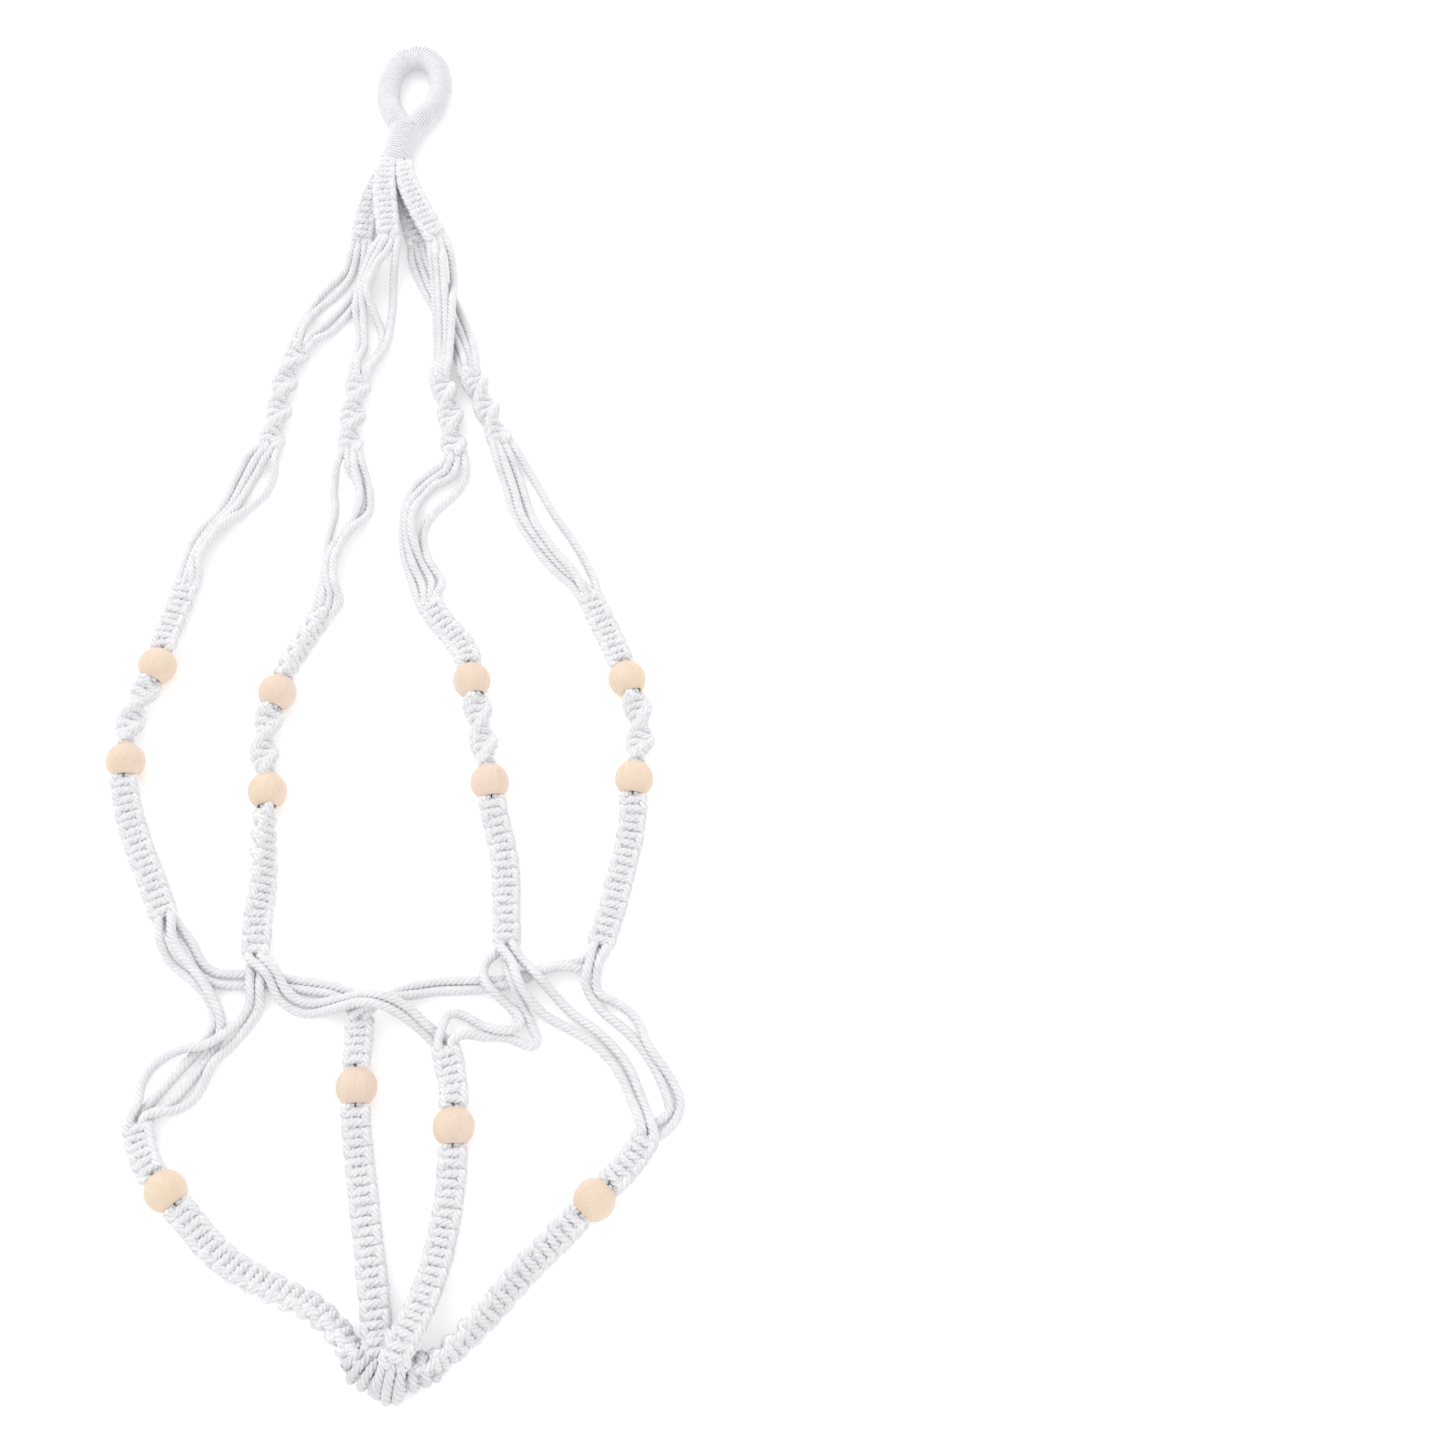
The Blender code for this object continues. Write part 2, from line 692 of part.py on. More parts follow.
def sinnet_path(spec, axes, step):
    """Centreline of a sinnet from face to face, without the stubs in its beads."""
    points = [np.array(p, float) for p in spec["points"]]
    if "start_bead" in spec:
        bead = spec["start_bead"]
        points.insert(0, bead_centre(bead) + axes[bead] * BEAD_FACE)
    if "end_bead" in spec:
        bead = spec["end_bead"]
        points.append(bead_centre(bead) - axes[bead] * BEAD_FACE)
    path = spline(points, step)
    lowest = SPIRAL_HEIGHT if spec.get("spiral") else SINNET_HEIGHT
    if "roll" in spec:
        lowest = ROLLED_HEIGHT
    if not spec.get("from_neck"):
        path[:, 2] = np.maximum(path[:, 2], lowest)
    return path


def sinnet_outline(spec, s, length):
    """Section of a sinnet at a distance along it."""
    if spec.get("spiral"):
        turn = -2 * math.pi * (s - SPIRAL_WIDEST) / SPIRAL_TURN
        return octagon(SPIRAL_WIDTH, SPIRAL_THICKNESS, SINNET_CHAMFER, turn)
    start, end = np.radians(spec.get("roll", (0, 0)))
    roll = start + (end - start) * s / length
    if not spec.get("from_neck"):
        return octagon(SINNET_WIDTH, SINNET_THICKNESS, SINNET_CHAMFER, roll)
    grown = min(1.0, s / NECK_ROOT_GROWTH)
    width = NECK_ROOT_WIDTH + (SINNET_WIDTH - NECK_ROOT_WIDTH) * grown
    thickness = NECK_ROOT_WIDTH + (SINNET_THICKNESS - NECK_ROOT_WIDTH) * grown
    return octagon(width, thickness, SINNET_CHAMFER, roll)


def sinnet_solid(spec, axes):
    """A knotted sinnet as a chamfered bar, with a round stub inside each bead it meets."""
    path = sinnet_path(spec, axes, 6.0 if spec.get("spiral") else 9.5)
    side, up = flat_frames(path)
    along = distances(path)
    stub = circle(STUB_RADIUS, 8, -math.pi / 8)
    inside = BEAD_FACE - STUB_GAP
    rings = []
    if "start_bead" in spec:
        axis = axes[spec["start_bead"]]
        across = unit(np.cross(axis, (0.0, 0.0, 1.0)))
        over = np.cross(across, axis)
        rings.append(ring_at(path[0] - axis * inside, across, over, stub))
        rings.append(ring_at(path[0], across, over, stub))
        side[0], up[0] = across, over
    for k in range(len(path)):
        outline = sinnet_outline(spec, along[k], along[-1])
        if k == len(path) - 1 and "end_bead" in spec:
            axis = axes[spec["end_bead"]]
            side[k] = unit(np.cross(axis, (0.0, 0.0, 1.0)))
            up[k] = np.cross(side[k], axis)
        rings.append(ring_at(path[k], side[k], up[k], outline))
    if "end_bead" in spec:
        rings.append(ring_at(path[-1], side[-1], up[-1], stub))
        rings.append(ring_at(path[-1] + axis * inside, side[-1], up[-1], stub))
    return loft(rings)


def sinnet_end(name, at_end, axes):
    """Free end of a sinnet: the face's centre and the outward, side and up directions."""
    path = sinnet_path(SINNETS[name], axes, LAY_STEP)
    outward = path[-1] - path[-3] if at_end else path[0] - path[2]
    outward[2] = 0.0
    outward = unit(outward)
    side = np.cross(outward, (0.0, 0.0, 1.0))
    return (path[-1] if at_end else path[0]), outward, side, np.array([0.0, 0.0, 1.0])


def collar_height(face, count, level):
    """Height of the middle of a collar of four cords, or of two cords at a level."""
    return face[2] if count == 4 else face[2] + LEVEL_OFFSETS[level]


def roots(name, at_end, first_points, level, axes):
    """Where the cords of a bundle leave a sinnet, in the order their routes spread out."""
    face, outward, side, _ = sinnet_end(name, at_end, axes)
    offsets = OFFSETS_FOUR if len(first_points) == 4 else OFFSETS_TWO
    lateral = [np.dot(np.array([p[0], p[1], 0.0]) - face, side) for p in first_points]
    order = np.argsort(lateral)
    middle = face + outward * (COLLAR_GAP + COLLAR_LENGTH / 2)
    middle[2] = collar_height(face, len(first_points), level)
    placed = [None] * len(first_points)
    for rank, which in enumerate(order):
        placed[which] = middle + side * offsets[rank]
    return placed


def drape(heights, step):
    """Heights that follow the given ones from above with no steep rise."""
    count = len(heights)
    apart = np.abs(np.arange(count)[:, None] - np.arange(count)[None, :]) * step
    eased = (heights[None, :] - CORD_SLOPE * apart).max(axis=1)
    for _ in range(3):
        padded = np.pad(eased, 2, mode="edge")
        mean = sum(padded[k:k + count] for k in range(5)) / 5
        mean[0], mean[-1] = eased[0], eased[-1]
        eased = np.maximum(mean, eased - 0.25)
    return np.maximum(eased, heights)


def lay_cords(axes):
    """Settle every loose cord in turn on the floor, or on the cords that already lie under it."""
    laid = []
    for bundles in (UPPER_CORDS, MIDDLE_CORDS, NET_CORDS):
        for group, bundle in bundles.items():
            levels = bundle.get("levels", (0, 0))
            starts = roots(bundle["start"], True, [r[0] for r in bundle["routes"]], levels[0], axes)
            ends = roots(bundle["end"], False, [r[-1] for r in bundle["routes"]], levels[1], axes)
            for route, start, end in zip(bundle["routes"], starts, ends):
                plan = spline([start[:2]] + [np.array(p, float) for p in route] + [end[:2]], LAY_STEP)
                heights = np.full(len(plan), FLOOR_HEIGHT)
                along = np.arange(len(plan)) * LAY_STEP
                to_end = np.minimum(along, along[::-1])
                heights[along <= ROOT_LEVEL] = start[2]
                heights[along[::-1] <= ROOT_LEVEL] = end[2]
                for under in laid:
                    reach = np.full(len(plan), CONTACT_OTHER)
                    if under["group"] == group:
                        reach = np.minimum(CONTACT_SAME, CONTACT_ROOT + CONTACT_GROWTH * to_end)
                    gap = plan[:, None, :] - under["path"][None, :, :2]
                    room = reach[:, None] ** 2 - (gap ** 2).sum(axis=2)
                    rest = under["path"][None, :, 2] + np.sqrt(np.maximum(room, 0))
                    needed = np.where(room > 0, rest, 0).max(axis=1)
                    heights = np.maximum(heights, needed)
                heights = drape(heights, LAY_STEP)
                laid.append(dict(group=group, path=np.column_stack([plan, heights])))
    return laid


def collar(name, at_end, count, level, axes):
    """The short block that holds the cords of a bundle together at a sinnet's end."""
    face, outward, side, up = sinnet_end(name, at_end, axes)
    thickness = COLLAR_FULL if count == 4 else COLLAR_HALF
    outline = octagon(COLLAR_WIDTH, thickness, 1.2, 0.0)
    rings = []
    for out in (COLLAR_GAP, COLLAR_GAP + COLLAR_LENGTH):
        centre = face + outward * out
        centre[2] = collar_height(face, count, level)
        rings.append(ring_at(centre, side, up, outline))
    return loft(rings)


def bundle_mesh(group, bundle, laid, axes):
    """The cords of one bundle with their two collars, as one closed body."""
    levels = bundle.get("levels", (0, 0))
    count = len(bundle["routes"])
    solids = [
        collar(bundle["start"], True, count, levels[0], axes),
        collar(bundle["end"], False, count, levels[1], axes),
    ]
    for cord in laid:
        if cord["group"] == group:
            path = thinned(cord["path"], CORD_TOLERANCE, CORD_LONGEST)
            solids.append(tube(path, CORD_DIAMETER / 2, CORD_SIDES))
    return joined(group, solids)


def bead_mesh():
    """A round bead about its own centre, with a cylindrical hole along Y."""
    edge = math.asin(BEAD_HOLE_RADIUS / BEAD_RADIUS)
    profile = []
    for k in range(BEAD_ARC_POINTS):
        angle = edge + (math.pi - 2 * edge) * k / (BEAD_ARC_POINTS - 1)
        profile.append((BEAD_RADIUS * math.cos(angle), BEAD_RADIUS * math.sin(angle)))
    rings = [
        [(r * math.cos(a), h, r * math.sin(a)) for a in bead_angles()]
        for h, r in profile
    ]
    vertices = [tuple(p) for ring in rings for p in ring]
    faces = []
    for r in range(len(rings)):
        for k in range(BEAD_SEGMENTS):
            a = r * BEAD_SEGMENTS + k
            b = r * BEAD_SEGMENTS + (k + 1) % BEAD_SEGMENTS
            c = ((r + 1) % len(rings)) * BEAD_SEGMENTS
            faces.append((a, b, c + (k + 1) % BEAD_SEGMENTS, c + k))
    mesh = new_mesh("bead", vertices, faces)
    mesh.transform(Matrix.Translation(-to_metres((0.0, 0.0, 0.0))))
    smooth(mesh)
    mesh.materials.append(material("bead_mat", BEECH, 0.55))
    return mesh


def bead_angles():
    """Angles of the bead's segments, with a segment's corner at the top."""
    return [2 * math.pi * k / BEAD_SEGMENTS + math.pi / 2 for k in range(BEAD_SEGMENTS)]


def make_beads(axes, folds):
    """The beads, each centred on its own spin axis."""
    mesh = bead_mesh()
    for bead, axis in axes.items():
        parent = folds["basket"] if "basket" in bead else None
        made = attach(bpy.data.objects.new(bead, mesh), parent, to_metres(bead_centre(bead)))
        made.rotation_euler[2] = math.atan2(-axis[0], axis[1])


def make_folds():
    """An empty on each fold's hinge line, which carries the pieces that fold."""
    folds = {"none": None}
    for key, (y, z), parent in (
        ("middle", FOLD_MIDDLE, "none"),
        ("upper", FOLD_UPPER, "middle"),
        ("basket", FOLD_BASKET, "none"),
    ):
        hinge = bpy.data.objects.new("fold_" + key, None)
        folds[key] = attach(hinge, folds[parent], to_metres((PLAN_CENTRE[0], y, z)))
        bpy.context.view_layer.update()
    return folds


def fold_of(name):
    """Which fold carries a piece."""
    if name.startswith(("loop", "neck", "crown")):
        return "upper"
    if name.startswith("upper"):
        return "middle"
    if name.startswith("basket") or name == "base_knot":
        return "basket"
    return "none"


def make_loop(parent):
    """Hanging loop: its cord core with the neck's core, the wrap round it and the neck's wrap."""
    loop = spline(LOOP_ROUTE, LOOP_STEP)
    neck = spline(NECK_ROUTE, 15.0)
    core = joined("loop_core", [
        tube(loop, LOOP_CORE_RADIUS, CORE_SIDES),
        tube(neck, NECK_CORE_RADIUS, ROUND_SIDES),
    ])
    new_object("loop_core", core, COTTON, 0.9, parent)
    wrapped = loop[loop[:, 1] > LOOP_WRAP_FROM_Y]
    new_object(
        "loop_wrap",
        new_mesh("loop_wrap", *sleeve(wrapped, LOOP_WRAP_INNER, LOOP_WRAP_OUTER, WRAP_SIDES)),
        WRAP_COTTON,
        0.85,
        parent,
    )
    new_object(
        "neck_wrap",
        new_mesh("neck_wrap", *sleeve(spline(NECK_WRAP_ROUTE, 14.0), NECK_WRAP_INNER, NECK_WRAP_OUTER, 14)),
        WRAP_COTTON,
        0.85,
        parent,
    )


def make_knot(parent):
    """Base knot: a band of cords with the front bundle laid over it and the back one behind."""
    mesh = joined("base_knot", [
        tube(spline(KNOT_BAND, 6.0), KNOT_BAND_RADIUS, 10),
        tube(spline(KNOT_FRONT, 6.0), KNOT_FRONT_RADIUS, 8),
        tube(spline(KNOT_BACK, 6.0), KNOT_BACK_RADIUS, 8),
    ])
    new_object("base_knot", mesh, COTTON, 0.9, parent)


def build():
    """Make every piece of the planter."""
    for leftover in list(bpy.data.objects):
        bpy.data.objects.remove(leftover, do_unlink=True)
    axes = bead_axes()
    folds = make_folds()
    make_loop(folds["upper"])
    for name, spec in SINNETS.items():
        new_object(name, new_mesh(name, *sinnet_solid(spec, axes)), COTTON, 0.9, folds[fold_of(name)])
    make_beads(axes, folds)
    laid = lay_cords(axes)
    for bundles in (UPPER_CORDS, MIDDLE_CORDS, NET_CORDS):
        for group, bundle in bundles.items():
            new_object(group, bundle_mesh(group, bundle, laid, axes), COTTON, 0.9, folds[fold_of(group)])
    make_knot(folds["basket"])


build()
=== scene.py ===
"""Looks of a hanging macrame planter: white twisted cotton cord and pale wooden beads on a white floor.

Sizes are in millimetres, unless a comment says otherwise.  Routes are written in a plan whose +Y runs
towards the hanging loop and whose +Z points up from the floor.  placed() turns them into metres in the
row frame.
"""

import math

import bpy
import numpy as np
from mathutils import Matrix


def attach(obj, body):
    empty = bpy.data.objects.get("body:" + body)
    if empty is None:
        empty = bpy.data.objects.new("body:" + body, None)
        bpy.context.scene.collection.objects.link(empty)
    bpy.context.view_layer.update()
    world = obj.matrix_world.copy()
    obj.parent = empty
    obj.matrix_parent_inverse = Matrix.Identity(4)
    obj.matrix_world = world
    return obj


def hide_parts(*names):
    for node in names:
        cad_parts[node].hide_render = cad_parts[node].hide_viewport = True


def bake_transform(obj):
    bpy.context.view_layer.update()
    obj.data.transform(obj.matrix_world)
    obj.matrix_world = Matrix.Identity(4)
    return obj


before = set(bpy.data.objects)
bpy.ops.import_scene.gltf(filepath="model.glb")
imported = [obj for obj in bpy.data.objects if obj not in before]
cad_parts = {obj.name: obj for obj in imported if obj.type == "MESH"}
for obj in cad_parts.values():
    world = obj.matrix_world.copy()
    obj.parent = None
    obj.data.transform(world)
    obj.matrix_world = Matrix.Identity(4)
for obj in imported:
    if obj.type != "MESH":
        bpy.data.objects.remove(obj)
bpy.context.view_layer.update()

MM = 0.001

# Middle of the bounding box in the plan that the lists below are written in.
PLAN_CENTRE = (1.988, -8.243)

CAMERA_PLACE = (0.170, -0.4578, 0.8365)  # metres, in the row frame
CAMERA_TILT = math.radians(25.0)
CAMERA_LENS = 43.03
SENSOR_WIDTH = 36.0
NEAREST_SEEN = 0.01          # metres

# Light and floor, in metres and watts.
SURROUND_STRENGTH = 1.08
KEY_PLACE = (-1.0, 1.5, 1.8)
KEY_SIZE = 2.4
KEY_ENERGY = 16.0
FLOOR_REACH = 4.0
FLOOR_DROP = 0.0002          # the floor is this much below the planter

# A rope: plies wound round each other.
ROPE_RADIUS = 2.55           # a loose cord
ROPE_TWIST = 11.0            # length over which a ply goes once round
ROPE_PLIES = 4
ROPE_SIDES = 16
ROPE_STEP = 1.1
GUIDE_STEP = 1.0             # step of the centrelines that knots and windings follow
SPLINE_SAMPLES = 24          # samples between two points of a smooth curve
PLY_CENTRE = 0.45            # how far a ply's middle is from the rope's, as a share of its radius
CORD_LINE_STEP = 5.0         # step of a declared cord's line

# How loose cords lie.
ROPE_FLOOR = 2.6             # height of a cord's centre where it lies on the floor
CONTACT_OTHER = 5.4          # centre distance of two crossing cords
CONTACT_SAME = 4.3           # centre distance of cords of one bundle, which press together
CONTACT_ROOT = 3.2           # the same where the bundle is gathered into a sinnet
CONTACT_GROWTH = 0.07        # how fast it widens with the distance from the sinnet
CORD_SLOPE = 0.6             # steepest rise of a cord over another one
ROOT_LEVEL = 9.0             # length over which a cord keeps its height next to a sinnet
LAY_STEP = 2.0
EASING_ROUNDS = 3            # how often the heights are smoothed
EASING_DROP = 0.25           # most that one smoothing lowers a cord
ROOT_INSIDE = 4.0            # how far a loose cord runs on into its sinnet
ROOT_PINCH = 0.7             # how much closer together the cords are there
ROUNDING = 6                 # how often a cord's corners are rounded
COLLAR_MIDDLE = 2.1          # distance from a sinnet's end to where its cords' routes begin
LEVEL_OFFSETS = (-2.5, 3.1)  # the lower and the upper pair, from the middle of a sinnet's end
OFFSETS_FOUR = (-5.2, -1.8, 1.8, 5.2)
OFFSETS_TWO = (-3.4, 3.4)

# Knotted sinnets.
KNOT_PITCH = 4.7             # length of one half knot along a sinnet
KNOT_SAMPLES = 14            # points of a working cord in each half knot
STRAND_RADIUS = 2.6          # cord pulled tight in a knot
SINNET_HEIGHT = 5.5          # lowest height of a flat sinnet's middle
ROLLED_HEIGHT = 7.45         # the same for a sinnet that rolls on its edge
SPIRAL_HEIGHT = 7.1
BEAD_INSET = 0.6             # where the first half knot begins next to a bead
FREE_INSET = 0.5             # the same next to loose cords and in the neck
LEAD_POINTS = 6              # points on the way from a sinnet's end into its first knot
BEAD_PLACE = (1.0, 1.6, 0.9)  # how far outside, beside and above a cord comes out of a bead's hole
FREE_PLACE = (1.5, 1.8, 0.3)  # the same where it comes from the loose cords
UNEVEN_ALONG = 0.16          # spread of the knots' unevenness along a sinnet, and to its side
UNEVEN_ASIDE = 0.15

# Square knots: one working cord crosses in front of the core, and one behind it.
SIDE_REACH = 5.0             # how far a working cord's centre goes to the side
FRONT_REACH = 0.94           # the front cord's share of that
FRONT_RISE = 1.5             # mean height of the front cord, which is twice as high where it crosses
BACK_RISE = 2.8              # how far the back cord comes up at the sides and goes down behind
BACK_DROP = 0.1
FRONT_SLIP = 0.12            # how far a front cord runs ahead while it crosses, in half knots
BACK_SLIP = 0.62             # how far a back cord runs along a side, in half knots
PAIR_SLIP = 0.04             # how far each of a knot's two half knots is moved to the other

# Half-knot spirals.
SPIRAL_TURN = 40.0           # length of one full turn
SPIRAL_WIDEST = 7.5          # where a spiral first shows its full width
SPIRAL_REACH = 5.0           # how far a working cord goes to the side, and above the core
SPIRAL_RISE = 1.8
SPIRAL_SLIP = 0.40           # how far a cord runs on at the sides, in half knots
SPIRAL_WIDE = 1.12           # a spiral spreads a little where it lies flat on the floor
SPIRAL_UNEVEN = 0.2

# The core inside the knots, and the cords inside a bead.
CORE_RADIUS = 2.9
CORE_RISE = 0.7              # the core lies nearer the front of a flat sinnet
CORE_ASIDE = 1.7
CORE_STEP = 1.5
CORE_INSET = 0.6             # the core's distance from a bead
CORE_BEYOND = 1.0            # how far the core goes on past the knots at a free end
STUB_START = 0.3             # from the middle of a bead
STUB_END = 11.0
STUB_STEP = 1.2
STUB_OFFSET = 1.72
STUB_STRAND_RADIUS = 1.75

# The neck and the hanging loop.
NECK_ROOT_SCALE = 0.66       # size of a crown sinnet where it leaves the neck wrap
NECK_ROOT_GROWTH = 30.0      # length over which it grows to its full size
WRAP_PITCH = 1.95            # the fine cord that is wound round the loop and the neck
WRAP_RADIUS = 1.02
WRAP_TWIST = 7.0
WRAP_PLIES = 3
WRAP_SIDES = 12
WRAP_PLY_CENTRE = 0.08       # a finer cord, with shallow grooves
WRAP_UNEVEN = 0.06
LOOP_COIL_RADIUS = 6.5
LOOP_COIL_SAMPLES = 24
LOOP_SLEEVE_RADIUS = 6.1     # the cords under the winding, which close its gaps
NECK_COIL_RADIUS = 8.9
NECK_COIL_SAMPLES = 30
NECK_NARROWING = 0.02        # how much thinner the neck is at its lower end
LOOP_CORD_RADIUS = 2.3
LOOP_SPOTS = [(2.2, 0.0), (-1.1, 1.9), (-1.1, -1.9)]
NECK_CORD_RADIUS = 2.6
NECK_CORD_RING = 4.6         # distance of the neck's outer cords from its middle

BEAD_RADIUS = 10.0
BEAD_HOLE_RADIUS = 4.5
BEAD_FLAT_RADIUS = 5.1       # a bead is flat round its hole
BEAD_FACE = 9.3              # distance of a sinnet's end face from the centre of its bead
BEAD_SEGMENTS = 48
BEAD_RINGS = 27
LIP_START = 0.2              # where the hole's rounded lip begins, from the edge of the flat
LIP_WIDTH = 0.1
LIP_DEPTH = 0.4
HOLE_INSET = 2.0             # how far inside the hole its even rings begin
HOLE_RINGS = 6
GRAIN_SPREAD = 400.0         # each bead is cut from another part of the wood

# The base knot: cords side by side in a band, a cord wound round them, and cords before and behind.
KNOT_BAND_SPOTS = [(2.6, 2.6), (-2.6, 2.6), (2.6, -2.6), (-2.6, -2.6)]
KNOT_BAND_CORD_RADIUS = 2.6
KNOT_COIL_RADIUS = 5.9
KNOT_COIL_PITCH = 5.0
KNOT_COIL_SAMPLES = 26
KNOT_COIL_START = 1.0        # angle, in radians
KNOT_COIL_PLY_CENTRE = 0.5
KNOT_FRONT_SPOTS = [(-4.4, -0.6), (0.0, 0.6), (4.4, -0.6)]
KNOT_BACK_SPOTS = [(-3.0, 0.0), (3.0, 0.0), (0.0, -2.4)]
KNOT_BAND = [(5, -398.5, 9.5), (12, -403, 10), (22, -406, 10), (32, -404, 10), (41, -399.5, 9.5)]
KNOT_FRONT = [
    (26, -397, 18.5), (24.5, -404, 18), (23, -410, 14.5), (22, -414, 9), (22.5, -411, 4),
]
KNOT_BACK = [(16, -391, 7), (18, -397, 6.5), (21, -405, 6.2)]

# How the long basket sinnets run on into the base knot.
KNOT_RUNS = {
    "basket_long_1": [(9, -399.5, 10)],
    "basket_long_2": [(15.8, -392, 7.5), (17, -398, 10)],
    "basket_long_3": [(28, -393.5, 19.5), (26, -400, 19)],
    "basket_long_4": [(40.5, -399.5, 9.5), (35, -403, 10.5)],
}

BEADS = {
    "bead_upper_1": (-131, -47),
    "bead_upper_2": (-65, -63),
    "bead_upper_3": (38, -56),
    "bead_upper_4": (121, -55),
    "bead_lower_1": (-140, -103),
    "bead_lower_2": (-64, -120),
    "bead_lower_3": (51, -115),
    "bead_lower_4": (126, -113),
    "bead_basket_1": (-89, -323),
    "bead_basket_2": (-4, -274),
    "bead_basket_3": (44, -293),
    "bead_basket_4": (112, -327),
}

LOOP_ROUTE = [
    (-26, 330, 9.5), (-33, 339, 9), (-39, 351, 8), (-41, 366, 8), (-38.6, 381, 8), (-32.5, 390.5, 8),
    (-24.5, 393.3, 8), (-15.8, 389.8, 8), (-9.8, 380, 8), (-7.8, 366, 8), (-10.8, 352, 8), (-17, 341, 9),
    (-24, 331, 9.5),
]
NECK_ROUTE = [(-26, 333, 10), (-28.5, 320, 10), (-30, 310, 10), (-31.5, 302, 10)]
# The neck's winding covers the crown sinnets' first millimetres.
NECK_WRAP_ROUTE = [
    (-27, 329, 10), (-28.5, 320, 10), (-30, 310, 10), (-31.4, 302.6, 10), (-32.9, 296.4, 10),
]

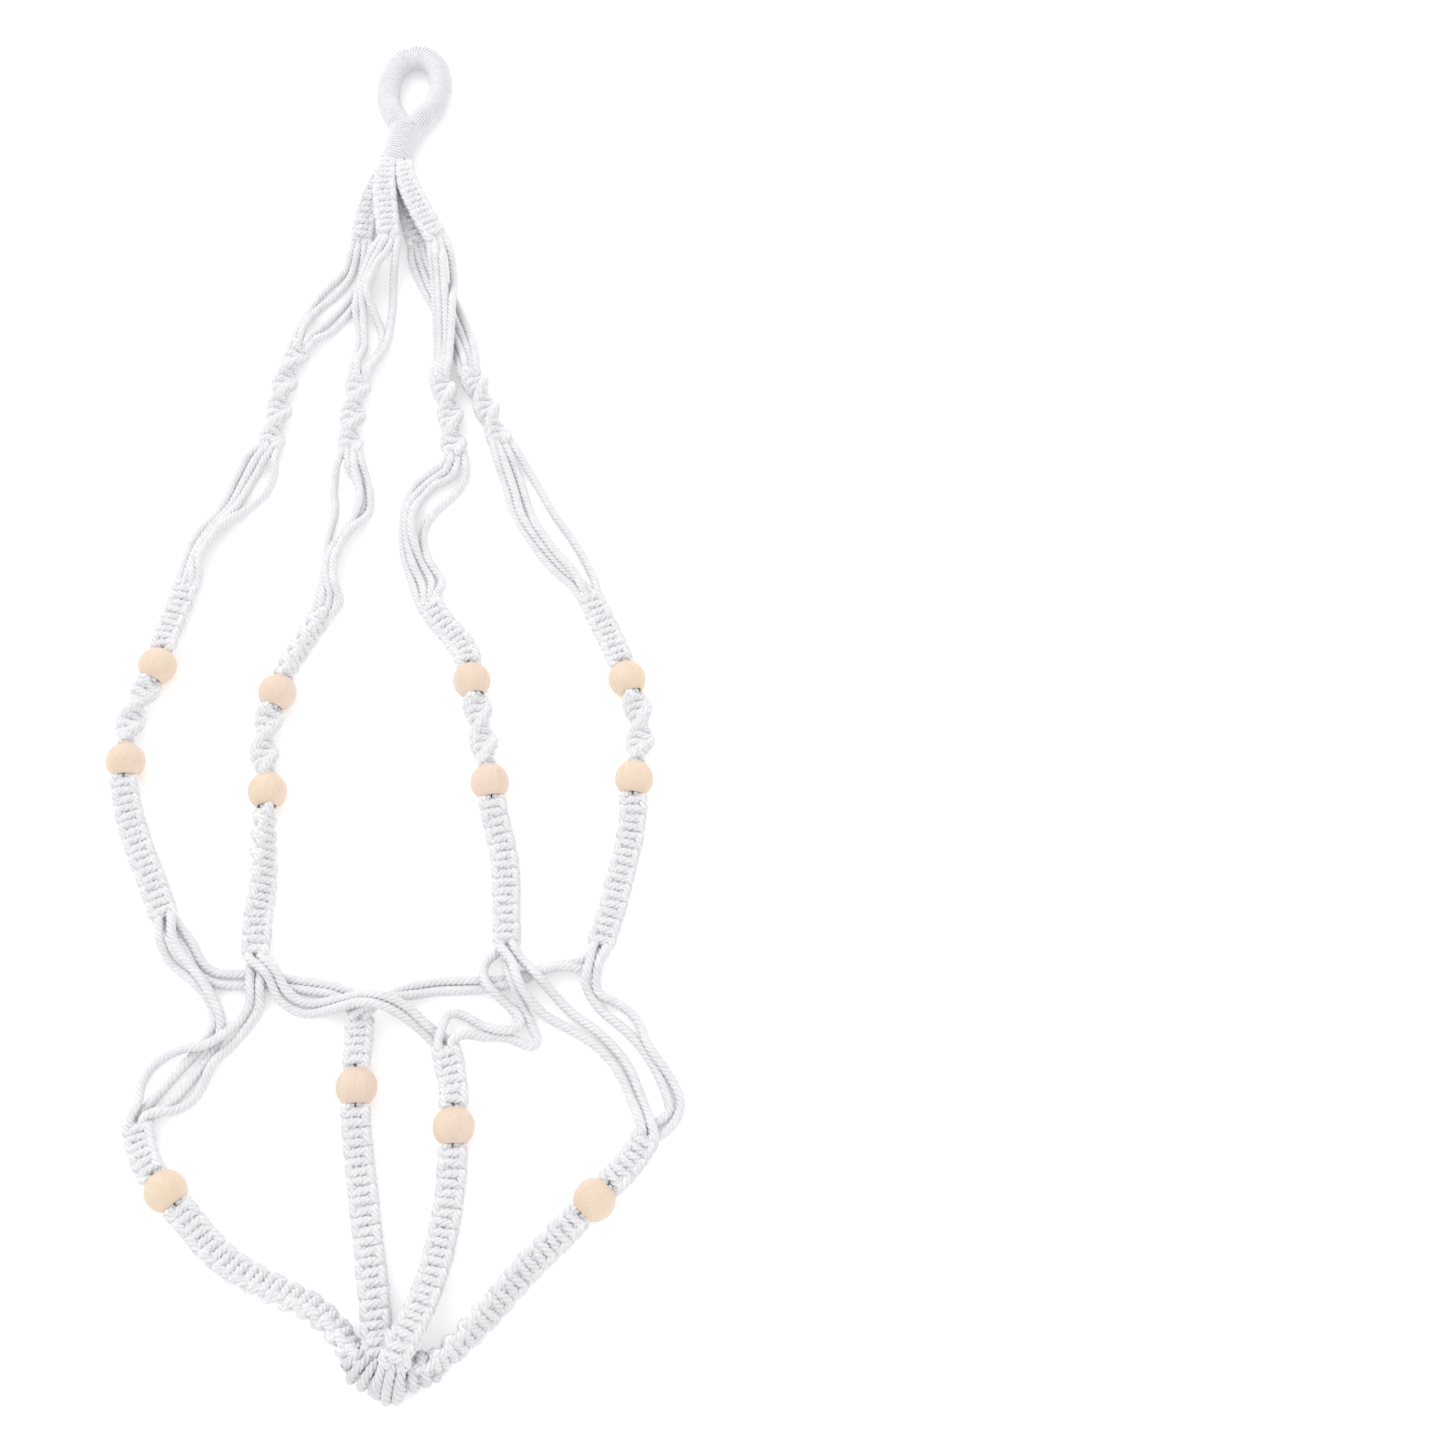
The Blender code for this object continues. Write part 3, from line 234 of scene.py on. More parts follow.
# Each sinnet: its beads at the start and the end, and the points between them.
# A roll of 90 degrees stands the flat sinnet on its edge.
SINNETS = {
    "crown_sinnet_1": dict(from_neck=True, points=[
        (-38.6, 301, 5.3), (-41.2, 293, 5.3), (-44.2, 281, 5.5), (-46.4, 264, 5.5), (-47.6, 246, 5.5),
    ]),
    "crown_sinnet_2": dict(from_neck=True, points=[
        (-34.8, 301, 15.2), (-35, 290, 16), (-34.5, 277, 17), (-32, 259, 17), (-29, 240, 16.8),
    ]),
    "crown_sinnet_3": dict(from_neck=True, points=[
        (-28.2, 298.8, 5.3), (-26, 289, 5.4), (-22.5, 276, 5.5), (-18, 259, 5.5), (-13, 242, 5.5),
    ]),
    "crown_sinnet_4": dict(from_neck=True, points=[
        (-24.4, 297.8, 15.2), (-22.9, 288, 16), (-18.8, 275, 17), (-11, 258, 17), (-0.5, 238, 16.8),
    ]),
    "upper_spiral_1": dict(spiral=True, points=[
        (-77, 165, 7), (-81, 152, 7), (-84, 135, 7), (-85, 115, 7), (-87, 96, 7),
    ]),
    "upper_spiral_2": dict(spiral=True, points=[
        (-40, 143, 7), (-41, 125, 7), (-42, 108, 7), (-41, 93, 7),
    ]),
    "upper_spiral_3": dict(spiral=True, points=[
        (7, 142, 7), (12, 129, 7), (15, 114, 7), (17, 101, 7), (19, 90, 7),
    ]),
    "upper_spiral_4": dict(spiral=True, points=[
        (24, 146, 7), (30, 135, 7), (36, 120, 7), (41, 108, 7), (45, 98, 7),
    ]),
    "shoulder_sinnet_1": dict(end_bead="bead_upper_1", points=[
        (-123, 4, 5.5), (-125, -8, 5.5), (-127.5, -20, 6.5), (-129, -31, 9),
    ]),
    "shoulder_sinnet_2": dict(end_bead="bead_upper_2", roll=(90, 90), points=[
        (-47, -14, 7.3), (-53, -26, 7.3), (-59, -39, 8), (-62, -47, 9.3),
    ]),
    "shoulder_sinnet_3": dict(end_bead="bead_upper_3", points=[
        (11, -7, 5.5), (19, -19, 5.5), (28, -30, 6.5), (34, -40, 9),
    ]),
    "shoulder_sinnet_4": dict(end_bead="bead_upper_4", points=[
        (99, -2, 5.5), (104, -14, 5.5), (110, -27, 6.5), (115, -39, 9),
    ]),
    "bead_spiral_1": dict(spiral=True, start_bead="bead_upper_1", end_bead="bead_lower_1", points=[
        (-138, -66, 8.4), (-141, -76, 7.4), (-142, -86, 8.4),
    ]),
    "bead_spiral_2": dict(spiral=True, start_bead="bead_upper_2", end_bead="bead_lower_2", points=[
        (-68.5, -81, 8.2), (-69, -92, 7.4), (-67.5, -102, 8.2),
    ]),
    "bead_spiral_3": dict(spiral=True, start_bead="bead_upper_3", end_bead="bead_lower_3", points=[
        (42.5, -74, 8.2), (45, -86, 7.4), (47.5, -97, 8.2),
    ]),
    "bead_spiral_4": dict(spiral=True, start_bead="bead_upper_4", end_bead="bead_lower_4", points=[
        (127.5, -73, 8.2), (129, -84, 7.4), (128, -95, 8.2),
    ]),
    "arm_sinnet_1": dict(start_bead="bead_lower_1", points=[
        (-138, -119, 9), (-135, -130, 6.5), (-131, -141, 5.5), (-125, -154, 5.5), (-118, -168, 5.5),
        (-109, -187, 5.5),
    ]),
    "arm_sinnet_2": dict(start_bead="bead_lower_2", roll=(90, 0), points=[
        (-64.5, -136, 9.5), (-64, -147, 8.2), (-63, -158, 7.4), (-62, -172, 7.3), (-62, -187, 8.3),
        (-60.5, -199, 9.5), (-60, -208, 9.6),
    ]),
    "arm_sinnet_3": dict(start_bead="bead_lower_3", points=[
        (54, -131, 9), (57, -142, 6.5), (60, -154, 5.5), (62, -168, 5.5), (63, -184, 5.5),
        (64, -201, 5.5),
    ]),
    "arm_sinnet_4": dict(start_bead="bead_lower_4", points=[
        (126, -129, 9), (125, -140, 6.5), (123, -152, 5.5), (120, -166, 5.5), (116, -184, 5.5),
        (111, -202, 5.5),
    ]),
    "basket_short_1": dict(end_bead="bead_basket_1", points=[
        (-108, -291, 5.5), (-105, -300, 5.8), (-99.5, -311, 9),
    ]),
    "basket_short_2": dict(end_bead="bead_basket_2", points=[
        (-6, -240, 5.5), (-5.5, -248, 5.8), (-5, -258, 9),
    ]),
    "basket_short_3": dict(end_bead="bead_basket_3", points=[
        (37, -254, 5.5), (40, -264, 5.8), (43, -276, 9),
    ]),
    "basket_short_4": dict(end_bead="bead_basket_4", points=[
        (136, -297, 5.5), (130.5, -306, 5.8), (123, -316, 9),
    ]),
    "basket_long_1": dict(start_bead="bead_basket_1", roll=(0, 80), points=[
        (-77, -336, 9), (-67, -347, 7), (-55, -357, 6.8), (-41, -364.5, 6.8), (-27, -370.5, 7),
        (-15, -376, 7.2), (-5, -384, 7.4), (2.5, -393, 7.6),
    ]),
    "basket_long_2": dict(start_bead="bead_basket_2", points=[
        (-2.5, -291, 9), (-1, -302, 6.5), (1.5, -316, 5.5), (5, -334, 5.5), (9, -354, 5.5),
        (12.7, -372, 5.5), (14.7, -386, 5.5),
    ]),
    "basket_long_3": dict(start_bead="bead_basket_3", points=[
        (44.5, -309, 9), (44, -320, 6.5), (43, -333, 5.5), (40.3, -351, 6), (37.2, -366, 9),
        (33, -380, 14), (30.3, -387, 18),
    ]),
    "basket_long_4": dict(start_bead="bead_basket_4", roll=(0, 80), points=[
        (100, -339.5, 9), (90, -348.5, 7), (80.5, -357.5, 6.8), (72, -367, 6.9), (63.5, -377, 7.1),
        (55.5, -386, 7.4), (47.5, -393.5, 7.6),
    ]),
}

# Loose cords between two sinnets.  The routes are plan points between the sinnets' ends.  In the net,
# two pairs leave each arm, lowest first: a level is 0 for the lower pair at a sinnet's end and 1 for
# the upper pair.
LOOSE_CORDS = {
    "upper_cords_1": dict(start="crown_sinnet_1", end="upper_spiral_1", routes=[
        [(-55, 234), (-58, 223), (-66, 212), (-73, 201), (-78, 187), (-81, 175)],
        [(-51, 232), (-54, 218), (-61, 206), (-70, 196), (-76, 182)],
        [(-46, 231), (-48, 212), (-55, 199), (-64, 186), (-71, 175)],
        [(-42, 230), (-44, 210), (-52, 193), (-61, 178), (-69, 170)],
    ]),
    "upper_cords_2": dict(start="crown_sinnet_2", end="upper_spiral_2", routes=[
        [(-38, 231), (-43, 219), (-46, 206), (-47, 192), (-44, 176), (-45, 158)],
        [(-34, 230), (-39, 219), (-43, 205), (-42, 186), (-40, 168), (-42, 156)],
        [(-29, 230), (-36, 217), (-40, 202), (-34, 187), (-30, 172), (-35, 154)],
        [(-24, 230), (-26, 214), (-26, 192), (-27, 168), (-33, 151)],
    ]),
    "upper_cords_4": dict(start="crown_sinnet_3", end="upper_spiral_4", routes=[
        [(-16, 229), (-8, 210), (1, 192), (10, 171), (17, 156)],
        [(-11, 229), (-4, 210), (6, 191), (15, 170), (20, 156)],
        [(-7, 229), (1, 210), (11, 190), (20, 169), (24, 156)],
        [(-3, 230), (6, 212), (15, 194), (23, 173), (27, 157)],
    ]),
    "upper_cords_3": dict(start="crown_sinnet_4", end="upper_spiral_3", routes=[
        [(-3, 227), (-1, 210), (1, 193), (2, 173), (3, 154)],
        [(0, 227), (2, 210), (4, 191), (5, 171), (6, 154)],
        [(4, 227), (6, 208), (8, 189), (9, 169), (9, 154)],
        [(9, 227), (11, 206), (12, 187), (12, 167), (12, 153)],
    ]),
    "middle_cords_1": dict(start="upper_spiral_1", end="shoulder_sinnet_1", routes=[
        [(-99, 90), (-105, 78), (-109, 64), (-113.5, 52), (-122, 41), (-126, 29), (-128, 14)],
        [(-95, 86), (-100.5, 75), (-105, 61), (-110, 50), (-118, 39), (-122, 28), (-124, 14)],
        [(-91, 84), (-96.5, 73), (-101, 60), (-107, 48), (-115, 37), (-120, 26), (-121, 13)],
        [(-83.5, 88), (-83.5, 79), (-87, 67), (-96, 55.5), (-104, 46), (-112, 35), (-117, 23),
         (-117, 14)],
    ]),
    "middle_cords_2": dict(start="upper_spiral_2", end="shoulder_sinnet_2", routes=[
        [(-48, 82), (-49, 68), (-47, 54), (-49, 38), (-49, 20), (-50, 2)],
        [(-40, 80), (-32, 66), (-33, 50), (-42, 34), (-47, 18), (-47, 2)],
        [(-37, 78), (-33, 62), (-36, 45), (-44, 29), (-46, 12), (-43, -1)],
        [(-33, 82), (-28, 66), (-28, 51), (-37, 36), (-42, 20), (-41, 5), (-37, -7)],
    ]),
    "middle_cords_3": dict(start="upper_spiral_3", end="shoulder_sinnet_3", routes=[
        [(10, 81), (-2, 73), (-7, 60), (-8, 43), (-6, 26), (0, 8)],
        [(14, 79), (2, 70), (-5, 56), (-5, 40), (-1, 21), (6, 6)],
        [(19, 77), (6, 68), (-1, 55), (-2, 40), (3, 24), (11, 8)],
        [(26, 77), (20, 65), (9, 53), (4, 39), (8, 23), (17, 8)],
    ]),
    "middle_cords_4": dict(start="upper_spiral_4", end="shoulder_sinnet_4", routes=[
        [(43, 87), (48, 73), (53, 56), (62, 39), (74, 21), (88, 6)],
        [(48, 84), (54, 67), (59, 50), (70, 33), (83, 17), (91, 9)],
        [(54, 82), (60, 64), (66, 46), (77, 29), (89, 13)],
        [(58, 87), (67, 71), (76, 54), (87, 37), (96, 21), (101, 9)],
    ]),
    "net_cords_1_to_2": dict(start="arm_sinnet_1", end="basket_short_2", levels=(0, 0), routes=[
        [(-95, -199), (-89, -209), (-81, -215), (-66, -216), (-47, -218), (-26, -221), (-11, -226)],
        [(-98, -203), (-90, -215), (-79, -221), (-57, -222), (-35, -224), (-17, -228)],
    ]),
    "net_cords_4_to_2": dict(start="arm_sinnet_4", end="basket_short_2", levels=(0, 1), routes=[
        [(102, -209), (89, -211), (76, -215), (60, -219), (44, -219), (27, -220), (10, -225)],
        [(105, -213), (89, -213), (76, -218), (60, -223), (44, -224), (27, -225), (8, -230)],
    ]),
    "net_cords_1_to_1": dict(start="arm_sinnet_1", end="basket_short_1", levels=(1, 0), routes=[
        [(-109, -201), (-103, -211), (-91, -220), (-82, -230), (-79, -241), (-84, -253), (-93, -265),
         (-102, -277)],
        [(-103, -199), (-94, -211), (-83, -224), (-75, -239), (-77, -254), (-86, -269), (-95, -281)],
    ]),
    "net_cords_2_to_1": dict(start="arm_sinnet_2", end="basket_short_1", levels=(0, 1), routes=[
        [(-62, -219), (-62, -232), (-69, -244), (-80, -253), (-95, -255), (-105, -261), (-110, -271),
         (-109, -281)],
        [(-57, -220), (-57, -234), (-66, -249), (-75, -260), (-79.5, -270), (-84, -279), (-92, -284.5),
         (-97.5, -285)],
    ]),
    "net_cords_2_to_3": dict(start="arm_sinnet_2", end="basket_short_3", levels=(1, 0), routes=[
        [(-53, -218), (-47, -229), (-35, -236), (-20, -235), (-5, -234), (9, -236), (22, -243)],
        [(-49, -216), (-43, -226), (-32, -231), (-15, -230), (2, -230), (16, -234), (29, -244)],
    ]),
    "net_cords_3_to_3": dict(start="arm_sinnet_3", end="basket_short_3", levels=(0, 1), routes=[
        [(64, -211), (68, -221), (73, -232), (78, -242), (81.5, -249.5), (78.5, -253), (72, -250),
         (63, -247.5), (54, -248), (46, -247.5)],
        [(53.5, -211), (55, -222), (65, -231), (73, -240), (68, -245), (55, -243), (45, -237), (37, -236),
         (35, -243)],
    ]),
    "net_cords_4_to_4": dict(start="arm_sinnet_4", end="basket_short_4", levels=(1, 0), routes=[
        [(106, -211), (104, -222), (112, -234), (125, -245), (136, -258), (144, -274), (146, -285)],
        [(110, -213), (110, -225), (121, -231), (130, -239), (136, -253), (147, -268), (152, -281),
         (147, -292)],
    ]),
    "net_cords_3_to_4": dict(start="arm_sinnet_3", end="basket_short_4", levels=(1, 1), routes=[
        [(67, -211), (73, -225), (83, -236), (97, -244), (111, -253), (122, -266), (129, -282)],
        [(72, -210), (83, -221), (97, -235), (113, -247), (126, -262), (134, -281)],
    ]),
}


def unit(vector):
    """The vector scaled to length one."""
    return np.asarray(vector, float) / np.linalg.norm(vector)


def spline(points, step):
    """Points at an even step on a smooth curve through the given points."""
    points = np.asarray(points, float)
    first = 2 * points[0] - points[1]
    last = 2 * points[-1] - points[-2]
    padded = np.vstack([first, points, last])
    fine = []
    for i in range(1, len(padded) - 2):
        p0, p1, p2, p3 = padded[i - 1:i + 3]
        for t in np.linspace(0, 1, SPLINE_SAMPLES, endpoint=False):
            bend = 2 * p1 + (p2 - p0) * t
            bend = bend + (2 * p0 - 5 * p1 + 4 * p2 - p3) * t ** 2
            bend = bend + (3 * p1 - p0 - 3 * p2 + p3) * t ** 3
            fine.append(bend / 2)
    fine.append(padded[-2])
    return resampled(np.array(fine), step)


def tangents(path):
    """Unit direction of travel at each point of a path."""
    ahead = np.gradient(path, axis=0)
    return ahead / np.linalg.norm(ahead, axis=1)[:, None]


def distances(path):
    """Distance along the path at each of its points."""
    return np.concatenate([[0], np.cumsum(np.linalg.norm(np.diff(path, axis=0), axis=1))])


def read_at(stops, along, field):
    """A field of points or directions, known at distances along a path, read at other distances."""
    return np.stack([np.interp(stops, along, column) for column in field.T], axis=1)


def resampled(path, step):
    """The same path with points at an even step."""
    along = distances(path)
    count = max(2, int(round(along[-1] / step)) + 1)
    return read_at(np.linspace(0, along[-1], count), along, path)


def flat_frames(path):
    """Side and up directions that keep a sinnet level."""
    ahead = tangents(path)
    side = np.cross(ahead, (0.0, 0.0, 1.0))
    side /= np.linalg.norm(side, axis=1)[:, None]
    up = np.cross(side, ahead)
    return side, up


def bead_axes():
    """Direction of each bead's hole, from the cords on either side of it."""
    before = {}
    after = {}
    for spec in SINNETS.values():
        if "end_bead" in spec:
            before[spec["end_bead"]] = np.array(spec["points"][-1], float)
        if "start_bead" in spec:
            after[spec["start_bead"]] = np.array(spec["points"][0], float)
    axes = {}
    for bead in BEADS:
        direction = after[bead] - before[bead]
        direction[2] = 0.0
        axes[bead] = unit(direction)
    return axes


def bead_centre(bead):
    """Centre of a bead that rests on the floor."""
    return np.array([BEADS[bead][0], BEADS[bead][1], BEAD_RADIUS], float)


def sinnet_path(spec, axes, step):
    """Centreline of a sinnet from face to face, without the stubs in its beads."""
    points = [np.array(p, float) for p in spec["points"]]
    if "start_bead" in spec:
        bead = spec["start_bead"]
        points.insert(0, bead_centre(bead) + axes[bead] * BEAD_FACE)
    if "end_bead" in spec:
        bead = spec["end_bead"]
        points.append(bead_centre(bead) - axes[bead] * BEAD_FACE)
    path = spline(points, step)
    lowest = SPIRAL_HEIGHT if spec.get("spiral") else SINNET_HEIGHT
    if "roll" in spec:
        lowest = ROLLED_HEIGHT
    if not spec.get("from_neck"):
        path[:, 2] = np.maximum(path[:, 2], lowest)
    return path


def sinnet_end(name, at_end, axes):
    """Free end of a sinnet: the face's centre and the outward and side directions."""
    path = sinnet_path(SINNETS[name], axes, LAY_STEP)
    outward = path[-1] - path[-3] if at_end else path[0] - path[2]
    outward[2] = 0.0
    outward = unit(outward)
    side = np.cross(outward, (0.0, 0.0, 1.0))
    return (path[-1] if at_end else path[0]), outward, side


def roots(name, at_end, first_points, level, axes):
    """Where the cords of a bundle leave a sinnet, and where they are inside it.

    The cords are in the order that their routes spread out.
    """
    face, outward, side = sinnet_end(name, at_end, axes)
    offsets = OFFSETS_FOUR if len(first_points) == 4 else OFFSETS_TWO
    lateral = [np.dot(np.array([p[0], p[1], 0.0]) - face, side) for p in first_points]
    order = np.argsort(lateral)
    middle = face + outward * COLLAR_MIDDLE
    if len(first_points) == 2:
        middle[2] = face[2] + LEVEL_OFFSETS[level]
    found = [None] * len(first_points)
    for rank, which in enumerate(order):
        inside = face - outward * ROOT_INSIDE + side * offsets[rank] * ROOT_PINCH
        found[which] = (middle + side * offsets[rank], inside)
    return found


def drape(heights):
    """Heights that follow the given ones from above with no steep rise."""
    count = len(heights)
    apart = np.abs(np.arange(count)[:, None] - np.arange(count)[None, :]) * LAY_STEP
    eased = (heights[None, :] - CORD_SLOPE * apart).max(axis=1)
    for _ in range(EASING_ROUNDS):
        padded = np.pad(eased, 2, mode="edge")
        mean = sum(padded[k:k + count] for k in range(5)) / 5
        mean[0], mean[-1] = eased[0], eased[-1]
        eased = np.maximum(mean, eased - EASING_DROP)
    return np.maximum(eased, heights)


def resting_heights(plan, group, first, last, laid):
    """Heights of a cord that lies on the floor and on the cords that are already laid."""
    heights = np.full(len(plan), ROPE_FLOOR)
    along = np.arange(len(plan)) * LAY_STEP
    to_end = np.minimum(along, along[::-1])
    heights[along <= ROOT_LEVEL] = first
    heights[along[::-1] <= ROOT_LEVEL] = last
    for under in laid:
        reach = np.full(len(plan), CONTACT_OTHER)
        if under["group"] == group:
            reach = np.minimum(CONTACT_SAME, CONTACT_ROOT + CONTACT_GROWTH * to_end)
        gap = plan[:, None, :] - under["path"][None, :, :2]
        room = reach[:, None] ** 2 - (gap ** 2).sum(axis=2)
        rest = under["path"][None, :, 2] + np.sqrt(np.maximum(room, 0))
        heights = np.maximum(heights, np.where(room > 0, rest, 0).max(axis=1))
    return drape(heights)


def lay_cords(axes):
    """Settle every loose cord in turn, the lowest first."""
    laid = []
    for group, bundle in LOOSE_CORDS.items():
        routes = bundle["routes"]
        levels = bundle.get("levels", (0, 0))
        starts = roots(bundle["start"], True, [route[0] for route in routes], levels[0], axes)
        ends = roots(bundle["end"], False, [route[-1] for route in routes], levels[1], axes)
        for route, (start, before), (end, after) in zip(routes, starts, ends):
            plan = spline([start[:2]] + [np.array(p, float) for p in route] + [end[:2]], LAY_STEP)
            heights = resting_heights(plan, group, start[2], end[2], laid)
            path = np.column_stack([plan, heights])
            laid.append(dict(group=group, path=path, before=before, after=after))
    return laid


def placed(points):
    """Plan points in millimetres as points of the row frame in metres."""
    shift = np.array([PLAN_CENTRE[0], PLAN_CENTRE[1], 0.0])
    return (np.asarray(points, float) - shift) * MM


def carried_frames(path):
    """Side and up directions that turn with a path but never spin about it."""
    ahead = tangents(path)
    reference = (0.0, 0.0, 1.0) if abs(ahead[0][2]) < 0.9 else (1.0, 0.0, 0.0)
    side = unit(np.cross(ahead[0], reference))
    sides = []
    for direction in ahead:
        side = unit(side - direction * (side @ direction))
        sides.append(side)
    sides = np.array(sides)
    return sides, np.cross(sides, ahead)


def ply_outline(plies, sides, centre):
    """Angles round a rope's section, and its reach there: one on a ply, less in a groove."""
    columns = 2 * math.pi * np.arange(sides) / sides
    share = columns * plies / (2 * math.pi)
    off = (share - np.round(share)) * 2 * math.pi / plies
    reach = centre * np.cos(off) + np.sqrt((1 - centre) ** 2 - (centre * np.sin(off)) ** 2)
    return columns, reach


def rope(path, radius, twist=ROPE_TWIST, plies=ROPE_PLIES, sides=ROPE_SIDES, centre=PLY_CENTRE):
    """Vertices, faces and ply coordinates of a rope whose plies wind left-handed along a path."""
    side, up = carried_frames(path)
    along = distances(path)
    columns, reach = ply_outline(plies, sides, centre)
    angle = columns[None, :] + (dice.uniform(0, 2 * math.pi) + 2 * math.pi * along / twist)[:, None]
    out = side[:, None, :] * np.cos(angle)[..., None] + up[:, None, :] * np.sin(angle)[..., None]
    points = path[:, None, :] + out * radius * reach[None, :, None]
    ring = np.arange(sides)
    here = np.arange(len(path) - 1)[:, None] * sides + ring[None, :]
    beside = np.arange(len(path) - 1)[:, None] * sides + (ring[None, :] + 1) % sides
    quads = np.stack([here, here + sides, beside + sides, beside], axis=-1).reshape(-1, 4)
    last = (len(path) - 1) * sides
    caps = [ring.tolist(), (last + ring[::-1]).tolist()]
    lay = np.empty(points.shape)
    lay[..., 0] = radius * np.cos(columns)[None, :]
    lay[..., 1] = radius * np.sin(columns)[None, :]
    lay[..., 2] = (along + dice.uniform(0, 500))[:, None]
    return points.reshape(-1, 3), quads.tolist() + caps, lay.reshape(-1, 3)


def make_piece(name, parts, attribute, look):
    """One object of the frame from the strands or solids gathered into it."""
    vertices = np.vstack([p[0] for p in parts])
    faces = []
    first = 0
    for points, part_faces, _ in parts:
        faces.extend([[v + first for v in face] for face in part_faces])
        first += len(points)
    mesh = bpy.data.meshes.new(name)
    mesh.from_pydata(placed(vertices).tolist(), [], faces)
    field = mesh.attributes.new(attribute, "FLOAT_VECTOR", "POINT")
    field.data.foreach_set("vector", np.vstack([p[2] for p in parts]).astype(np.float32).ravel())
    mesh.shade_smooth()
    mesh.materials.append(look)
    made = bpy.data.objects.new(name, mesh)
    bpy.context.scene.collection.objects.link(made)
    return made


def sinnet_guide(spec, axes):
    """Centreline of a sinnet with the directions of its width and thickness."""
    path = sinnet_path(spec, axes, GUIDE_STEP)
    side, up = flat_frames(path)
    along = distances(path)
    start, end = np.radians(spec.get("roll", (0, 0)))
    roll = start + (end - start) * along / along[-1]
    if spec.get("spiral"):
        roll = -2 * math.pi * (along - SPIRAL_WIDEST) / SPIRAL_TURN
        side = side * SPIRAL_WIDE
    c = np.cos(roll)[:, None]
    s = np.sin(roll)[:, None]
    size = np.ones(len(path))
    if spec.get("from_neck"):
        size = NECK_ROOT_SCALE + (1 - NECK_ROOT_SCALE) * np.minimum(1, along / NECK_ROOT_GROWTH)
    return dict(
        path=path,
        along=along,
        ahead=tangents(path),
        side=(side * c + up * s) * size[:, None],
        up=(up * c - side * s) * size[:, None],
    )


def on_guide(guide, s, u, v):
    """Points at distances s along a sinnet, u to its side and v above its middle."""
    along = guide["along"]
    inside = np.clip(s, 0, along[-1])
    at = {key: read_at(inside, along, guide[key]) for key in ("path", "ahead", "side", "up")}
    beyond = (np.asarray(s) - inside)[:, None]
    u = np.asarray(u, float)
    v = np.asarray(v, float)
    return at["path"] + at["ahead"] * beyond + at["side"] * u[:, None] + at["up"] * v[:, None]


def uneven(count, amount, t):
    """A hand-made unevenness that changes smoothly from knot to knot or from turn to turn."""
    return np.interp(t, np.arange(count + 1), dice.normal(0, amount, count + 1))


def knot_steps(start, end):
    """Number of half knots along a sinnet, counted in small steps, and the length of one."""
    count = max(2, int(round((end - start) / KNOT_PITCH)))
    return count, np.linspace(0, count, count * KNOT_SAMPLES + 1), (end - start) / count


def led(s, u, v, length, from_bead, into_bead):
    """A working cord's place along, beside and above a sinnet, led in at one end and out at the other."""
    gap, beside, above = BEAD_PLACE if from_bead else FREE_PLACE
    share = np.linspace(0, 1, LEAD_POINTS + 1)[:-1]
    s = np.concatenate([s[0] - (s[0] + gap) * (1 - share), s])
    u = np.concatenate([np.sign(u[0]) * beside * (1 - share) + u[0] * share, u])
    v = np.concatenate([np.sign(v[0]) * above * (1 - share) + v[0] * share, v])
    gap, beside, above = BEAD_PLACE if into_bead else FREE_PLACE
    share = np.linspace(0, 1, LEAD_POINTS + 1)[1:]
    s = np.concatenate([s, s[-1] + (length + gap - s[-1]) * share])
    u = np.concatenate([u, np.sign(u[-1]) * beside * share + u[-1] * (1 - share)])
    v = np.concatenate([v, np.sign(v[-1]) * above * share + v[-1] * (1 - share)])
    return s, u, v


def square_knots(guide, start, end, from_bead, into_bead):
    """The two working cords of a square-knot sinnet, one in front of the core and one behind."""
    length = guide["along"][-1]
    count, t, pitch = knot_steps(start, end)
    slip = np.sin(2 * math.pi * t)
    wave = np.cos(2 * math.pi * t)
    pairs = t + PAIR_SLIP * np.sin(math.pi * t)
    even = start + pitch * pairs + uneven(count, UNEVEN_ALONG, t)
    reach = SIDE_REACH + uneven(count, UNEVEN_ASIDE, t)
    swing = np.sin(math.pi / 2 * np.cos(math.pi * t)) * reach
    front = led(even + pitch * FRONT_SLIP * slip, -FRONT_REACH * swing, FRONT_RISE - FRONT_RISE * wave,
                length, from_bead, into_bead)
    over = BACK_RISE * np.sin(math.pi / 2 * wave) - BACK_DROP
    back = led(even + pitch * BACK_SLIP * slip, swing, over, length, from_bead, into_bead)
    return [on_guide(guide, *front), on_guide(guide, *back)]


def spiral_knots(guide, start, end, from_bead, into_bead):
    """The two working cords of a half-knot spiral, each wound round the core in turn."""
    length = guide["along"][-1]
    count, t, pitch = knot_steps(start, end)
    slipped = t + SPIRAL_SLIP * np.sin(2 * math.pi * t)
    s = start + pitch * slipped + uneven(count, SPIRAL_UNEVEN, t)
    paths = []
    for phase in (0.0, math.pi):
        turn = phase - math.pi * t
        cord = led(s, SPIRAL_REACH * np.cos(turn), SPIRAL_RISE * np.sin(turn),
                   length, from_bead, into_bead)
        paths.append(on_guide(guide, *cord))
    return paths


def core_cords(guide, start, end, rise):
    """The two cords that the others are knotted round."""
    s = np.arange(start, end, CORE_STEP)
    return [
        on_guide(guide, s, np.full(len(s), u), np.full(len(s), rise))
        for u in (-CORE_ASIDE, CORE_ASIDE)
    ]


def bead_stubs(bead, axis, way):
    """Four cords from the middle of a bead's hole out into the sinnet on one side of it."""
    out = axis * way
    across = unit(np.cross(out, (0.0, 0.0, 1.0)))
    stops = np.arange(STUB_START, STUB_END, STUB_STEP)
    paths = []
    for u in (-STUB_OFFSET, STUB_OFFSET):
        for v in (-STUB_OFFSET, STUB_OFFSET):
            centre = bead_centre(bead) + across * u + np.array([0.0, 0.0, v])
            paths.append(centre[None, :] + out[None, :] * stops[:, None])
    return paths


